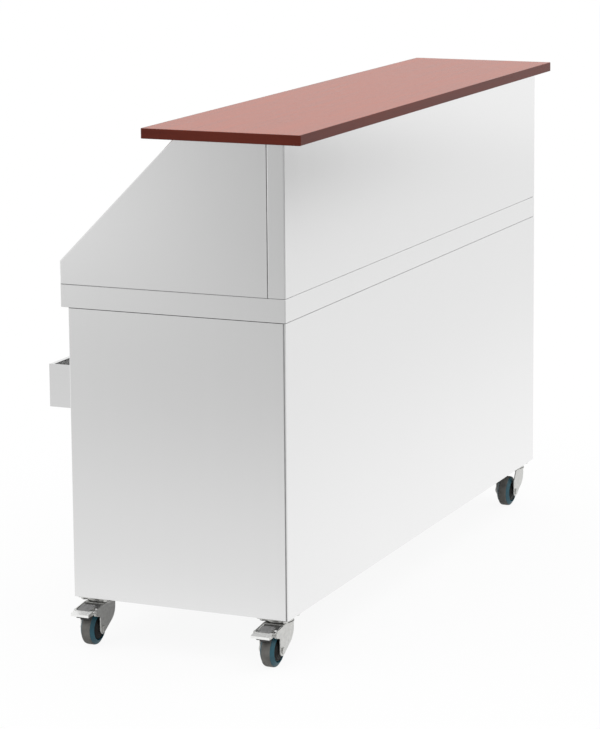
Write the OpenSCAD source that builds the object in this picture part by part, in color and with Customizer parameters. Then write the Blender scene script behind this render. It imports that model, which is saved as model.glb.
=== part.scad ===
// Mobile bar unit: a stainless steel cabinet on four swivel casters, with a work top,
// a raised guest counter, two end wings, a speed rail and an insulated ice bin.
// X runs along the unit, Y from the guest face to the operator side, Z up from the floor.
// "Left" is the guest's left, at low X, where the two braked casters are.

/* [Cabinet] */
// Length of the cabinet and of the work top
unit_length = 1570; // [1300:10:2200]
// Height of the cabinet panels
panel_height = 640; // [600:5:760]
// Depth of the cabinet from guest face to operator face
cabinet_depth = 510; // [490:5:640]
// Thickness of the stainless sheet
sheet = 1.5; // [1:0.1:2]
// Open joint between neighbouring panels
joint_gap = 1.5; // [1:0.1:2.5]
// Width of the seal between the guest panel and an end panel
seam = 2; // [1:0.5:4]
// Side of the square frame tubes
post = 25; // [20:1:30]
// Wall of the square frame tubes
tube_wall = 2; // [1.5:0.5:3]
// Height of the base deck over the lower edge of the panels
deck_height = 40; // [32:1:60]

/* [Work top] */
// Height of the turned-down edge
edge_height = 50; // [40:1:70]
// Overhang of the work top on the operator side
top_overhang = 18; // [8:1:30]

/* [Riser] */
// Height of the riser over the work top
riser_height = 323; // [280:1:360]
// Depth of the riser box
riser_depth = 40; // [32:1:55]
// Number of upright stiffeners inside the riser
stiffener_count = 5; // [3:1:9]
// Height of the upright edge of a wing
wing_lip = 50; // [30:1:80]
// Slope of a wing's upper edge
wing_angle = 45; // [42:1:55]
// Width of the folded rim of a wing
wing_rim = 20; // [12:1:30]

/* [Bar top] */
// Thickness of the bar top
bar_thick = 22; // [18:1:35]
// Depth of the bar top
bar_depth = 366; // [320:1:420]
// Overhang of the bar top past the guest face
guest_overhang = 40; // [20:1:80]
// Overhang of the bar top past each end
end_overhang = 7.5; // [4:0.5:30]
// Thickness of the edging
edging = 2; // [1:0.5:4]

/* [Speed rail] */
// Distance from a cabinet end to the rail end
rail_inset = 100; // [60:5:250]
// Depth of the rail past the operator face
rail_depth = 104; // [85:1:130]
// Height of the rail
rail_height = 96; // [70:1:130]
// Width of the inward lip
rail_lip = 12; // [8:1:20]
// Drop from the top of the panels to the top of the rail
rail_drop = 150; // [120:5:200]
// Number of rail screws
rail_screws_count = 6; // [4:1:10]

/* [Ice bin] */
// Length of the bin opening
bin_length = 560; // [400:10:700]
// Width of the bin opening
bin_width = 330; // [260:5:345]
// Depth of the bin from the work top
bin_depth = 260; // [200:5:280]
// Thickness of the insulation
foam = 20; // [12:1:28]
// Outer diameter of the drain tube
drain_d = 28; // [24:1:34]
// Diameter of the drain bore
drain_bore = 20; // [14:1:21]
// Overlap of the two sliding lids
lid_overlap = 20; // [10:1:40]
// Diameter of the finger hole in a lid
finger_hole = 32; // [25:1:40]
// Length of the valve lever
lever_length = 60; // [50:1:75]
// Free height from the shelf to the valve lever
drain_room = 67.5; // [40:0.5:110]

/* [Casters] */
// Height from the floor to the top of a caster plate
caster_height = 105; // [103:1:115]
// Diameter of a wheel
wheel_d = 75; // [68:1:76]
// Width of a wheel
wheel_w = 33; // [28:1:35]
// Distance of the wheel axle behind the swivel axis
trail = 40; // [36:1:44]
// Distance of a swivel axis from the cabinet end
swivel_inset = 48; // [46:1:80]
// Distance of a swivel axis from the guest or operator face
swivel_side = 41; // [40:1:70]
// Length of a caster plate
plate_l = 80; // [76:1:84]
// Width of a caster plate
plate_w = 70; // [66:1:74]
// Thickness of a caster plate
plate_t = 4; // [3:0.5:5]
// Thickness of the fork sheet
fork_sheet = 3; // [2:0.5:3.5]
// Diameter of a wheel axle
axle_d = 10; // [8:1:12]
// Diameter of a kingpin
kingpin_d = 12; // [10:1:14]
// Diameter of a plate bolt
bolt_d = 8; // [6:1:9]
// Distance from the swivel axis to the tip of a brake pedal
pedal_reach = 102; // [98:1:110]
// Width of a brake pedal at its tip
pedal_w = 43; // [40:1:56]

/* [Hidden] */
$fn = 64;

// Common allowances
overrun = 1;
run_gap = 0.05;
play = 0.3;
weld = 0.02;

// Heights of the main levels
z_low = caster_height;
z_band = z_low + panel_height;
z_panel = z_band - joint_gap;
z_top = z_band + edge_height;
z_bar = z_top + riser_height;
z_crest = z_bar + bar_thick;
z_deck = z_low + deck_height;

// Depths of the main planes
y_end = 2 * sheet + seam;
y_in = y_end + sheet;
y_out = cabinet_depth - sheet;
y_work = cabinet_depth + top_overhang;
y_bar = bar_depth - guest_overhang;
y_rail = cabinet_depth + rail_depth;

// Middle of the footprint, which becomes the origin
x_mid = (unit_length + end_overhang + swivel_inset - pedal_reach) / 2;
y_mid = (y_rail - guest_overhang) / 2;

// Panel folds
hem = 12;
fold = sheet + post;
tongue = 12;
foot = 20;
flange = 20;
return_w = 40;
lap = 18;
seal_w = 12;
seal_set = 3;

// Base channels and shelf cleats
channel_t = 3;
channel_half = swivel_inset - 2 * sheet;
shelf_edge = 25;
cleat = 20;

// Bar top screws
screw_d = 4;
screw_head_d = 8;
screw_head_h = 3;
screw_bite = 14;
screws_per_gap = 2;

// Riser stiffeners
stiffener_w = 30;
stiffener_run = unit_length - 2 * return_w - stiffener_w;
stiffener_pitch = stiffener_run / (stiffener_count - 1);
screw_y = sheet + flange / 2;

// Speed rail
rail_z1 = z_band - rail_drop;
rail_z0 = rail_z1 - rail_height;
rail_run = unit_length - 2 * rail_inset;
rail_screw_d = 5;
rail_head_d = 10;
rail_head_h = 3;
rail_bite = 10;
bar_z0 = (rail_z0 + rail_z1 - post) / 2;

// Ice bin
bin_clear = 7;
bin_flange = 12;
bin_x0 = (unit_length - bin_length) / 2;
bin_x1 = bin_x0 + bin_length;
bin_y1 = y_out - post - bin_clear - sheet - foam;
bin_y0 = bin_y1 - bin_width;
bin_z0 = z_top - bin_depth;
bin_floor = bin_z0 + sheet;
jacket_z0 = bin_z0 - foam - sheet;
drain_x = unit_length / 2;
drain_y = (bin_y0 + bin_y1) / 2;

// False bottom of the ice bin
grid_rise = 20;
grid_gap = 1;
grid_hole_d = 12;
grid_pitch = 50;
grid_nx = floor((bin_length - grid_pitch) / grid_pitch);
grid_ny = floor((bin_width - grid_pitch) / grid_pitch);

// Sliding lids and their track frame
lid_t = 1.5;
track_t = 2;
track_slot = lid_t + 2 * play;
track_z0 = z_top + sheet;
track_h = 3 * track_t + 2 * track_slot;
lid_reach = bin_flange - track_t - play;
finger_inset = 40;

// Drain and plug valve
drain_flange_d = 50;
drain_flange_h = 3;
drain_nut_d = 44;
drain_nut_h = 8;
valve_gap = 2;
valve_d = 40;
valve_rise = 31;
valve_foot = 20;
valve_socket = 12;
valve_z1 = jacket_z0 - drain_nut_h - valve_gap;
valve_z = valve_z1 - valve_rise;
neck_d = 30;
neck_l = 31;
plug_d = 26;
plug_l = 28;
stem_d = 10;
boss_d = 18;
boss_l = 27;
spigot_d = 20;
spigot_bore = 13;
spigot_l = 26;
lever_t = 3;
lever_w = 16;
lever_hub_d = 20;
grip_share = 0.45;
grip_t = 9;

// The shelf lies clear under the lever of the shut valve
z_shelf = valve_z - lever_length - drain_room;

// Caster swivel head
cup_r = 30;
cup_h = 6;
cup_wall = 1.5;
cup_skirt = 2;
ring_in = 19;
ring_out = 26;
ring_h = 3;
hole_x = 30;
hole_y = 25;
bolt_head_d = 15;
bolt_head_h = 5;
bolt_nut_h = 6.5;
bolt_end = 2;
pin_head_d = 20;
pin_head_h = 3.5;

// Caster fork
wheel_r = wheel_d / 2;
plate_z = caster_height - plate_t;
crown_z1 = plate_z - cup_h - ring_h - play;
crown_z0 = crown_z1 - fork_sheet;
crown_r = 31;
crown_front = 36;
leg_back = 18;
leg_nose = 12;
knee_share = 0.34;
shoulder_share = 0.53;
guard_room = 5.5;
fork_in = wheel_w / 2 + guard_room;
fork_out = fork_in + fork_sheet;
axle = [-trail, wheel_r];
knee = [leg_back, wheel_r + knee_share * (crown_z1 - wheel_r)];
shoulder = [-trail - leg_nose, wheel_r + shoulder_share * (crown_z1 - wheel_r)];

// Brake arms, pedal and shoe
arm_reach = 32;
arm_drop = 12.5;
arm_nose = 7;
arm_room = 2;
pivot = [-trail - arm_reach, crown_z1 - arm_drop];
pivot_d = 8;
pivot_head_d = 12;
pivot_head_h = 2;
pedal_t = 2.5;
pedal_neck_w = 30;
cheek_t = 2.5;
cheek_r = 6.5;
pedal_heel = [16, 12.5];
pedal_bend = [-13, 7];
pedal_tip_rise = 3;
pedal_lip = 5.5;
heel_at = pivot + pedal_heel;
bend_at = pivot + pedal_bend;
tip_at = [-pedal_reach, pivot[1] + pedal_tip_rise];
shoe_gap = 3.3;
shoe_t = 5;
shoe_w = 24;
shoe_from = 128;
shoe_to = 144;
shoe_steps = 6;
shoe_boss_r = 5.5;

// Wheel
tyre_in = 27;
tread_edge = 6.5;
tread_half = wheel_w / 2 - tread_edge;
tread_bevel = 2;
tread_drop = 0.8;
band_drop = 9;
rim_wall = 3;
rim_in = tyre_in - rim_wall;
web_half = 4;
hub_r = 9;
hub_half = fork_in - play;
guard_t = 1.5;
guard_r = rim_in - play;
guard_dip = 2;
axle_head_d = 15;
axle_head_h = 3;
axle_nut_h = 3.5;

// Finishes
steel = [0.82, 0.83, 0.84];
inner_steel = [0.72, 0.73, 0.75];
wood = [0.36, 0.15, 0.12];
wood_edge = [0.3, 0.11, 0.09];
zinc = [0.78, 0.78, 0.76];
dark = [0.12, 0.12, 0.13];
rubber = [0.38, 0.37, 0.36];
blue = [0.16, 0.36, 0.45];
foam_tint = [0.9, 0.86, 0.7];
brass = [0.75, 0.62, 0.32];
red = [0.7, 0.12, 0.1];

// Shared shapes

// Moves the cabinet corner so that the footprint's middle lies at the origin
module place() translate([-x_mid, -y_mid, 0]) children();

// Box between two opposite corners
module slab(lo, hi) translate(lo) cube(hi - lo);

// A shape at the left end and its mirror image at the right end
module both_ends() {
    children();
    translate([unit_length, 0, 0]) mirror([1, 0, 0]) children();
}

// Box on the bin outline, grown on every side, between two levels
module bin_block(grow, z0, z1) {
    slab([bin_x0 - grow, bin_y0 - grow, z0], [bin_x1 + grow, bin_y1 + grow, z1]);
}

// Open tub of sheet on the bin outline, welded from a floor and four walls
module bin_tub(grow, z0, z1) {
    x0 = bin_x0 - grow;
    x1 = bin_x1 + grow;
    y0 = bin_y0 - grow;
    y1 = bin_y1 + grow;
    z_wall = z0 + sheet + weld;
    slab([x0, y0, z0], [x1, y1, z0 + sheet]);
    for (x = [x0, x1 - sheet]) slab([x, y0, z_wall], [x + sheet, y1, z1]);
    for (y = [y0, y1 - sheet])
        slab([x0 + sheet + weld, y, z_wall], [x1 - sheet - weld, y + sheet, z1]);
}

// Rectangular ring of four strips, welded at their ends, round an opening
module ring(lo, hi, hole_lo, hole_hi) {
    for (x = [[lo[0], hole_lo[0]], [hole_hi[0], hi[0]]])
        slab([x[0], lo[1], lo[2]], [x[1], hi[1], hi[2]]);
    for (y = [[lo[1], hole_lo[1]], [hole_hi[1], hi[1]]])
        slab([hole_lo[0] + weld, y[0], lo[2]], [hole_hi[0] - weld, y[1], hi[2]]);
}

// Square tube between two corners, open along the axis given by its index
module tube(lo, hi, along) {
    wall = [for (i = [0 : 2]) i == along ? -overrun : tube_wall];
    difference() {
        slab(lo, hi);
        slab(lo + wall, hi - wall);
    }
}

// Outline drawn in Y and Z, extruded along X from a given place
module side_sheet(x, t) translate([x, 0, 0]) rotate([90, 0, 90]) linear_extrude(t) children();

// Outline drawn in X and Z, extruded along Y between two places
module fork_sheet_at(y0, y1) translate([0, y1, 0]) rotate([90, 0, 0]) linear_extrude(y1 - y0) children();

// Point where a line from p touches a circle, on the side given by a sign
function tangent_point(p, c, r, side) =
    let (d = p - c, turn = atan2(d[1], d[0]) + side * acos(r / norm(d)))
    c + r * [cos(turn), sin(turn)];

// Places of the bar top screws along the riser
screw_xs = [
    for (i = [0 : stiffener_count - 2], k = [1 : screws_per_gap])
        return_w + stiffener_w / 2 + stiffener_pitch * (i + k / (screws_per_gap + 1))
];

// Places of the rail screws along the rail
rail_xs = [
    for (i = [0 : rail_screws_count - 1]) rail_inset + rail_run * (2 * i + 1) / (2 * rail_screws_count)
];

// Bar top

module bar_top_board() {
    color(wood) place() difference() {
        slab([edging - end_overhang, edging - guest_overhang, z_bar],
             [unit_length + end_overhang - edging, y_bar - edging, z_crest]);
        for (x = screw_xs) translate([x, screw_y, z_bar - overrun])
            cylinder(d = screw_d, h = screw_bite + overrun);
    }
}

module bar_top_edging() {
    color(wood_edge) place() difference() {
        slab([-end_overhang, -guest_overhang, z_bar], [unit_length + end_overhang, y_bar, z_crest]);
        slab([edging - end_overhang, edging - guest_overhang, z_bar - overrun],
             [unit_length + end_overhang - edging, y_bar - edging, z_crest + overrun]);
    }
}

module bar_top_screws() {
    color(zinc) place() for (x = screw_xs) translate([x, screw_y, z_bar - sheet]) {
        cylinder(d = screw_d, h = sheet + screw_bite);
        translate([0, 0, -screw_head_h]) cylinder(d = screw_head_d, h = screw_head_h);
    }
}

// Riser and wings

module riser_guest_panel() {
    z0 = z_top + joint_gap;
    color(steel) place() difference() {
        union() {
            slab([0, 0, z0], [unit_length, sheet, z_bar]);
            slab([sheet, sheet, z_bar - sheet], [unit_length - sheet, sheet + flange, z_bar]);
            slab([return_w, sheet, z_top], [unit_length - return_w, 2 * sheet, z0 + sheet]);
            both_ends() {
                slab([0, 0, z0], [sheet, riser_depth, z_bar]);
                slab([0, riser_depth - sheet, z0], [return_w, riser_depth, z_bar]);
                slab([sheet, 2 * sheet, z_top], [2 * sheet, riser_depth - sheet, z0 + sheet]);
            }
        }
        for (x = screw_xs) translate([x, screw_y, z_bar - sheet - overrun])
            cylinder(d = screw_d, h = sheet + 2 * overrun);
    }
}

module riser_service_panel() {
    x0 = return_w - lap;
    color(steel) place() {
        slab([x0, riser_depth, z_top], [unit_length - x0, riser_depth + sheet, z_bar]);
        slab([x0, riser_depth, z_top], [unit_length - x0, riser_depth + foot, z_top + sheet]);
    }
}

module riser_stiffeners() {
    color(inner_steel) place() for (i = [0 : stiffener_count - 1]) {
        x = return_w + stiffener_pitch * i;
        tube([x, 2 * sheet, z_top], [x + stiffener_w, riser_depth, z_bar - sheet], 2);
    }
}

// Left wing, drawn against the left end face
module wing() {
    y0 = riser_depth + joint_gap;
    z0 = z_top + joint_gap;
    z_lip = z_top + wing_lip;
    y_crest = y_work - (z_bar - z_lip) / tan(wing_angle);
    inner = y_work - sheet;
    z_inner = z_lip - sheet * tan(wing_angle / 2);
    y_slope = y_crest - sheet / sin(wing_angle);
    side_sheet(0, sheet) polygon([[y0, z0], [y_work, z0], [y_work, z_lip], [y_crest, z_bar], [y0, z_bar]]);
    side_sheet(0, wing_rim) polygon([
        [inner, z0], [y_work, z0], [y_work, z_lip], [y_crest, z_bar], [y_slope, z_bar], [inner, z_inner]
    ]);
    slab([sheet, riser_depth, z0], [return_w - lap - joint_gap, y0 + sheet, z_bar]);
    slab([sheet, riser_depth + foot + joint_gap, z_top], [foot, inner, z0 + sheet]);
}

module left_wing() color(steel) place() wing();

module right_wing() color(steel) place() translate([unit_length, 0, 0]) mirror([1, 0, 0]) wing();

// Work top

module work_top() {
    hole_lo = [bin_x0 - play, bin_y0 - play];
    hole_hi = [bin_x1 + play, bin_y1 + play];
    color(steel) place() {
        ring([0, 0, z_top - sheet], [unit_length, y_work, z_top], hole_lo, hole_hi);
        ring([0, 0, z_band], [unit_length, y_work, z_top - sheet - weld],
             [sheet, sheet], [unit_length - sheet, y_work - sheet]);
    }
}

// Cabinet

module guest_panel() {
    color(steel) place() {
        slab([0, 0, z_low], [unit_length, sheet, z_panel]);
        slab([fold + joint_gap, sheet, z_panel - tongue],
             [unit_length - fold - joint_gap, 2 * sheet, z_band + tongue]);
        slab([fold + joint_gap, sheet, z_low], [unit_length - fold - joint_gap, y_in, z_low + sheet]);
        both_ends() slab([0, sheet, z_low], [hem, 2 * sheet, z_panel]);
    }
}

// Left end panel, drawn against the left end face
module end_panel() {
    slab([0, y_end, z_low], [sheet, cabinet_depth, z_panel]);
    slab([0, y_end, z_low], [fold, y_in, z_panel]);
    slab([0, y_out, z_low], [fold, cabinet_depth, z_panel]);
    slab([sheet, y_in + post, z_panel - tongue], [2 * sheet, y_out - post, z_band + tongue]);
}

module left_end_panel() color(steel) place() end_panel();

module right_end_panel() color(steel) place() translate([unit_length, 0, 0]) mirror([1, 0, 0]) end_panel();

module panel_seals() {
    color(dark) place() both_ends()
        slab([seal_set, 2 * sheet, z_low], [seal_set + seal_w, y_end, z_panel]);
}

module base_deck() {
    color(inner_steel) place() difference() {
        slab([sheet, y_in, z_low], [unit_length - sheet, y_out, z_deck]);
        slab([2 * sheet, y_in + sheet, z_low - overrun],
             [unit_length - 2 * sheet, y_out - sheet, z_deck - sheet]);
    }
}

module base_channels() {
    y0 = y_in + sheet;
    y1 = y_out - sheet;
    half = channel_half;
    color(inner_steel) place() difference() {
        for (x = [swivel_inset, unit_length / 2, unit_length - swivel_inset]) difference() {
            slab([x - half, y0, z_low], [x + half, y1, z_deck - sheet]);
            slab([x - half + channel_t, y0 - overrun, z_low + channel_t],
                 [x + half - channel_t, y1 + overrun, z_deck]);
        }
        bolt_places() translate([0, 0, z_low - overrun]) cylinder(d = bolt_d, h = channel_t + 2 * overrun);
    }
}

module corner_posts() {
    color(inner_steel) place() both_ends() for (y = [y_in, y_out - post])
        tube([sheet, y, z_deck], [sheet + post, y + post, z_top - sheet], 2);
}

module cross_bar() {
    color(inner_steel) place() difference() {
        tube([fold, y_out - post, bar_z0], [unit_length - fold, y_out, bar_z0 + post], 0);
        rail_screw_places() cylinder(d = rail_screw_d, h = tube_wall + sheet + 2 * overrun);
    }
}

module mid_shelf() {
    y0 = y_in + post + joint_gap;
    y1 = y_out - post - joint_gap;
    color(inner_steel) place() {
        slab([sheet, y0, z_shelf - sheet], [unit_length - sheet, y1, z_shelf]);
        for (y = [y0, y1 - sheet])
            slab([sheet + cleat, y, z_shelf - shelf_edge],
                 [unit_length - sheet - cleat, y + sheet, z_shelf]);
    }
}

module shelf_cleats() {
    z1 = z_shelf - sheet;
    y0 = y_in + post + joint_gap + sheet;
    y1 = y_out - post - joint_gap - sheet;
    color(inner_steel) place() both_ends() {
        slab([sheet, y0, z1 - sheet], [sheet + cleat, y1, z1]);
        slab([sheet, y0, z1 - cleat], [2 * sheet, y1, z1]);
    }
}

// Speed rail

// Puts a shape at each rail screw, with its axis along the screw towards the frame tube
module rail_screw_places() {
    for (x = rail_xs) translate([x, cabinet_depth + overrun, bar_z0 + post / 2])
        rotate([90, 0, 0]) children();
}

module speed_rail() {
    x0 = rail_inset;
    x1 = unit_length - rail_inset;
    in_x0 = x0 + sheet + weld;
    in_x1 = x1 - sheet - weld;
    z_wall = rail_z0 + sheet + weld;
    color(steel) place() {
        for (x = [x0, x1 - sheet]) slab([x, y_out, rail_z0], [x + sheet, y_rail, rail_z1]);
        slab([in_x0, y_out, rail_z0], [in_x1, y_rail, rail_z0 + sheet]);
        slab([in_x0, y_rail - sheet, z_wall], [in_x1, y_rail, rail_z1]);
        slab([in_x0, y_rail - rail_lip, rail_z1 - sheet], [in_x1, y_rail - sheet - weld, rail_z1]);
        difference() {
            slab([in_x0, y_out, z_wall], [in_x1, cabinet_depth, rail_z1]);
            rail_screw_places() cylinder(d = rail_screw_d, h = sheet + 2 * overrun);
        }
    }
}

module rail_screws() {
    color(zinc) place() rail_screw_places() translate([0, 0, overrun]) {
        cylinder(d = rail_screw_d, h = rail_bite);
        translate([0, 0, -rail_head_h]) cylinder(d = rail_head_d, h = rail_head_h);
    }
}

// Ice bin

module drain_hole(z0, z1) translate([drain_x, drain_y, z0]) cylinder(d = drain_d, h = z1 - z0);

module ice_bin_liner() {
    rim = bin_flange;
    color(steel) place() {
        difference() {
            bin_tub(0, bin_z0, z_top - weld);
            drain_hole(bin_z0 - overrun, bin_floor + overrun);
        }
        ring([bin_x0 - rim, bin_y0 - rim, z_top], [bin_x1 + rim, bin_y1 + rim, z_top + sheet],
             [bin_x0 + sheet, bin_y0 + sheet], [bin_x1 - sheet, bin_y1 - sheet]);
    }
}

module ice_bin_insulation() {
    color(foam_tint) place() difference() {
        bin_block(foam, bin_z0 - foam, z_top - sheet);
        bin_block(0, bin_z0, z_top);
        drain_hole(bin_z0 - foam - overrun, bin_z0 + overrun);
    }
}

module ice_bin_jacket() {
    color(inner_steel) place() difference() {
        bin_tub(foam + sheet, jacket_z0, z_top - sheet);
        drain_hole(jacket_z0 - overrun, bin_z0);
    }
}

module ice_grid() {
    inset = sheet + grid_gap;
    z1 = bin_floor + grid_rise;
    color(steel) place() {
        difference() {
            bin_block(-inset, z1 - sheet, z1);
            for (i = [0 : grid_nx - 1], j = [0 : grid_ny - 1])
                translate([drain_x + grid_pitch * (i - (grid_nx - 1) / 2),
                           drain_y + grid_pitch * (j - (grid_ny - 1) / 2), z1 - sheet - overrun])
                    cylinder(d = grid_hole_d, h = sheet + 2 * overrun);
        }
        for (y = [bin_y0 + inset, bin_y1 - inset - sheet])
            slab([bin_x0 + inset, y, bin_floor], [bin_x1 - inset, y + sheet, z1]);
    }
}

module lid_frame() {
    x0 = bin_x0 - bin_flange;
    x1 = bin_x1 + bin_flange;
    y0 = bin_y0 - bin_flange;
    y1 = bin_y1 + bin_flange;
    slots = [track_z0 + track_t, track_z0 + 2 * track_t + track_slot];
    color(inner_steel) place() difference() {
        slab([x0, y0, track_z0], [x1, y1, track_z0 + track_h]);
        slab([x0 + track_t, bin_y0, track_z0 - overrun],
             [x1 - track_t, bin_y1, track_z0 + track_h + overrun]);
        for (z = slots)
            slab([x0 + track_t, y0 + track_t, z], [x1 - track_t, y1 - track_t, z + track_slot]);
    }
}

// Lid sheet between two places along the unit, with a finger hole
module lid(x0, x1, z, hole_x) {
    difference() {
        slab([x0, bin_y0 - lid_reach, z], [x1, bin_y1 + lid_reach, z + lid_t]);
        translate([hole_x, drain_y, z - overrun]) cylinder(d = finger_hole, h = lid_t + 2 * overrun);
    }
}

module left_lid() {
    x0 = bin_x0 - lid_reach;
    color(steel) place() lid(x0, drain_x + lid_overlap / 2, track_z0 + track_t + play, x0 + finger_inset);
}

module right_lid() {
    x1 = bin_x1 + lid_reach;
    z = track_z0 + 2 * track_t + track_slot + play;
    color(steel) place() lid(drain_x - lid_overlap / 2, x1, z, x1 - finger_inset);
}

// Drain

// Moves a shape to the drain axis
module at_drain() place() translate([drain_x, drain_y, 0]) children();

// Moves a shape to the middle of the valve
module at_valve() at_drain() translate([0, 0, valve_z]) children();

// Moves a shape that is turned on Z to the valve stem, with Z along X
module at_stem() at_valve() rotate([0, 90, 0]) children();

// Moves a shape that is turned on Z to the valve outlet, with Z along Y
module at_outlet() at_valve() rotate([-90, 0, 0]) children();

module drain_fitting() {
    tube_z0 = valve_z1 - valve_socket;
    color(brass) at_drain() {
        difference() {
            union() {
                translate([0, 0, bin_floor]) cylinder(d = drain_flange_d, h = drain_flange_h);
                translate([0, 0, tube_z0]) cylinder(d = drain_d, h = bin_floor - tube_z0);
            }
            translate([0, 0, tube_z0 - overrun])
                cylinder(d = drain_bore, h = bin_floor + drain_flange_h - tube_z0 + 2 * overrun);
        }
        translate([0, 0, jacket_z0 - drain_nut_h]) difference() {
            cylinder(d = drain_nut_d, h = drain_nut_h, $fn = 6);
            translate([0, 0, -overrun]) cylinder(d = drain_d, h = drain_nut_h + 2 * overrun);
        }
    }
}

// Angle valve: the drain tube enters from above, and the hose spigot faces the operator
module drain_valve_body() {
    body_h = valve_rise + valve_foot;
    color(brass) difference() {
        union() {
            at_valve() translate([0, 0, -valve_foot]) cylinder(d = valve_d, h = body_h);
            at_outlet() cylinder(d = neck_d, h = neck_l);
            at_outlet() cylinder(d = spigot_d, h = neck_l + spigot_l);
            at_stem() cylinder(d = boss_d, h = boss_l);
        }
        at_valve() translate([0, 0, valve_rise - valve_socket])
            cylinder(d = drain_d, h = valve_socket + overrun);
        at_valve() cylinder(d = drain_bore, h = valve_rise);
        at_outlet() cylinder(d = spigot_bore, h = neck_l + spigot_l + overrun);
        at_stem() cylinder(d = plug_d + 2 * run_gap, h = plug_l + 2 * play, center = true);
        at_stem() cylinder(d = stem_d + 2 * run_gap, h = boss_l + overrun);
    }
}

// Plug with a right-angled passage, which meets the tube and the spigot after a quarter turn
module drain_valve_plug() {
    color(zinc) difference() {
        at_stem() {
            cylinder(d = plug_d, h = plug_l, center = true);
            cylinder(d = stem_d, h = boss_l + play + lever_t);
        }
        at_outlet() cylinder(d = spigot_bore, h = plug_d);
        at_valve() translate([0, 0, -plug_d]) cylinder(d = spigot_bore, h = plug_d);
    }
}

// Lever of the shut valve, which hangs down
module drain_valve_lever() {
    grip = lever_length * grip_share;
    color(red) at_stem() translate([0, 0, boss_l + play]) difference() {
        union() {
            cylinder(d = lever_hub_d, h = lever_t);
            translate([0, -lever_w / 2, 0]) cube([lever_length, lever_w, lever_t]);
            translate([lever_length - grip, -lever_w / 2, 0]) cube([grip, lever_w, grip_t]);
        }
        translate([0, 0, -overrun]) cylinder(d = stem_d, h = lever_t + 2 * overrun);
    }
}

// Casters

// Moves a shape to the swivel axis of one caster; each index is 0 or 1
module at_caster(right, service) {
    place() caster_spot(right, service) children();
}

module caster_spot(right, service) {
    translate([right == 0 ? swivel_inset : unit_length - swivel_inset,
               service == 0 ? swivel_side : cabinet_depth - swivel_side, 0]) children();
}

module every_caster() for (i = [0, 1], j = [0, 1]) at_caster(i, j) children();

// A shape at each plate bolt, before the footprint is centred
module bolt_places() {
    for (i = [0, 1], j = [0, 1], x = [-hole_x, hole_x], y = [-hole_y, hole_y])
        caster_spot(i, j) translate([x, y, 0]) children();
}

// A shape turned about the wheel axle
module on_axle() translate([axle[0], 0, axle[1]]) rotate([90, 0, 0]) children();

// A shape turned about the pedal pivot of a braked caster
module on_pivot() translate([pivot[0], 0, pivot[1]]) rotate([90, 0, 0]) children();

module caster_plates() {
    color(zinc) every_caster() difference() {
        union() {
            translate([-plate_l / 2, -plate_w / 2, plate_z]) cube([plate_l, plate_w, plate_t]);
            translate([0, 0, plate_z - cup_h]) cylinder(r = cup_r, h = cup_h);
            translate([0, 0, plate_z - cup_h - cup_skirt]) cylinder(r = cup_r, h = cup_skirt);
        }
        translate([0, 0, plate_z - cup_h - cup_skirt - overrun])
            cylinder(r = cup_r - cup_wall, h = cup_skirt + overrun);
        translate([0, 0, plate_z - cup_h - overrun])
            cylinder(d = kingpin_d, h = cup_h + plate_t + 2 * overrun);
        for (x = [-hole_x, hole_x], y = [-hole_y, hole_y])
            translate([x, y, plate_z - overrun]) cylinder(d = bolt_d, h = plate_t + 2 * overrun);
    }
}

module caster_bolts() {
    shank = plate_t + channel_t + bolt_nut_h + bolt_end;
    color(zinc) place() bolt_places() translate([0, 0, plate_z]) {
        cylinder(d = bolt_d, h = shank);
        translate([0, 0, -bolt_head_h]) cylinder(d = bolt_head_d, h = bolt_head_h, $fn = 6);
        translate([0, 0, plate_t + channel_t]) cylinder(d = bolt_head_d, h = bolt_nut_h, $fn = 6);
    }
}

module kingpins() {
    color(zinc) every_caster() {
        translate([0, 0, crown_z0 - play - pin_head_h]) cylinder(d = pin_head_d, h = pin_head_h);
        translate([0, 0, crown_z0 - play]) cylinder(d = kingpin_d, h = caster_height - crown_z0 + play);
    }
}

module swivel_bearings() {
    color(zinc) every_caster() translate([0, 0, plate_z - cup_h - ring_h]) difference() {
        cylinder(r = ring_out, h = ring_h);
        translate([0, 0, -overrun]) cylinder(r = ring_in, h = ring_h + 2 * overrun);
    }
}

// Side view of a fork leg, with a pedal arm on a braked caster
module leg_outline(braked) {
    top = [-crown_front, crown_z1];
    arm = [tangent_point(shoulder, pivot, arm_nose, -1), pivot, tangent_point(top, pivot, arm_nose, 1)];
    front = concat([shoulder], braked ? arm : []);
    polygon(concat(
        [[leg_back, crown_z1], knee, tangent_point(knee, axle, leg_nose, -1), axle, axle - [leg_nose, 0]],
        front, [top]
    ));
    translate(axle) circle(leg_nose);
    if (braked) translate(pivot) circle(arm_nose);
}

module fork(braked) {
    color(zinc) difference() {
        union() {
            translate([0, 0, crown_z0]) cylinder(r = crown_r, h = fork_sheet);
            slab([-crown_front, -fork_out, crown_z0], [leg_back, fork_out, crown_z1]);
            for (y = [-fork_out, fork_in]) fork_sheet_at(y, y + fork_sheet) leg_outline(braked);
        }
        translate([0, 0, crown_z0 - overrun])
            cylinder(d = kingpin_d + 2 * run_gap, h = fork_sheet + 2 * overrun);
        on_axle() cylinder(d = axle_d, h = 2 * fork_out + 2 * overrun, center = true);
        if (braked) on_pivot()
            cylinder(d = pivot_d + 2 * run_gap, h = 2 * fork_out + 2 * overrun, center = true);
    }
}

module wheel_axle() {
    color(zinc) on_axle() {
        cylinder(d = axle_d, h = 2 * fork_out, center = true);
        translate([0, 0, fork_out]) cylinder(d = axle_head_d, h = axle_head_h, $fn = 6);
        translate([0, 0, -fork_out - axle_nut_h]) cylinder(d = axle_head_d, h = axle_nut_h, $fn = 6);
    }
}

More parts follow.
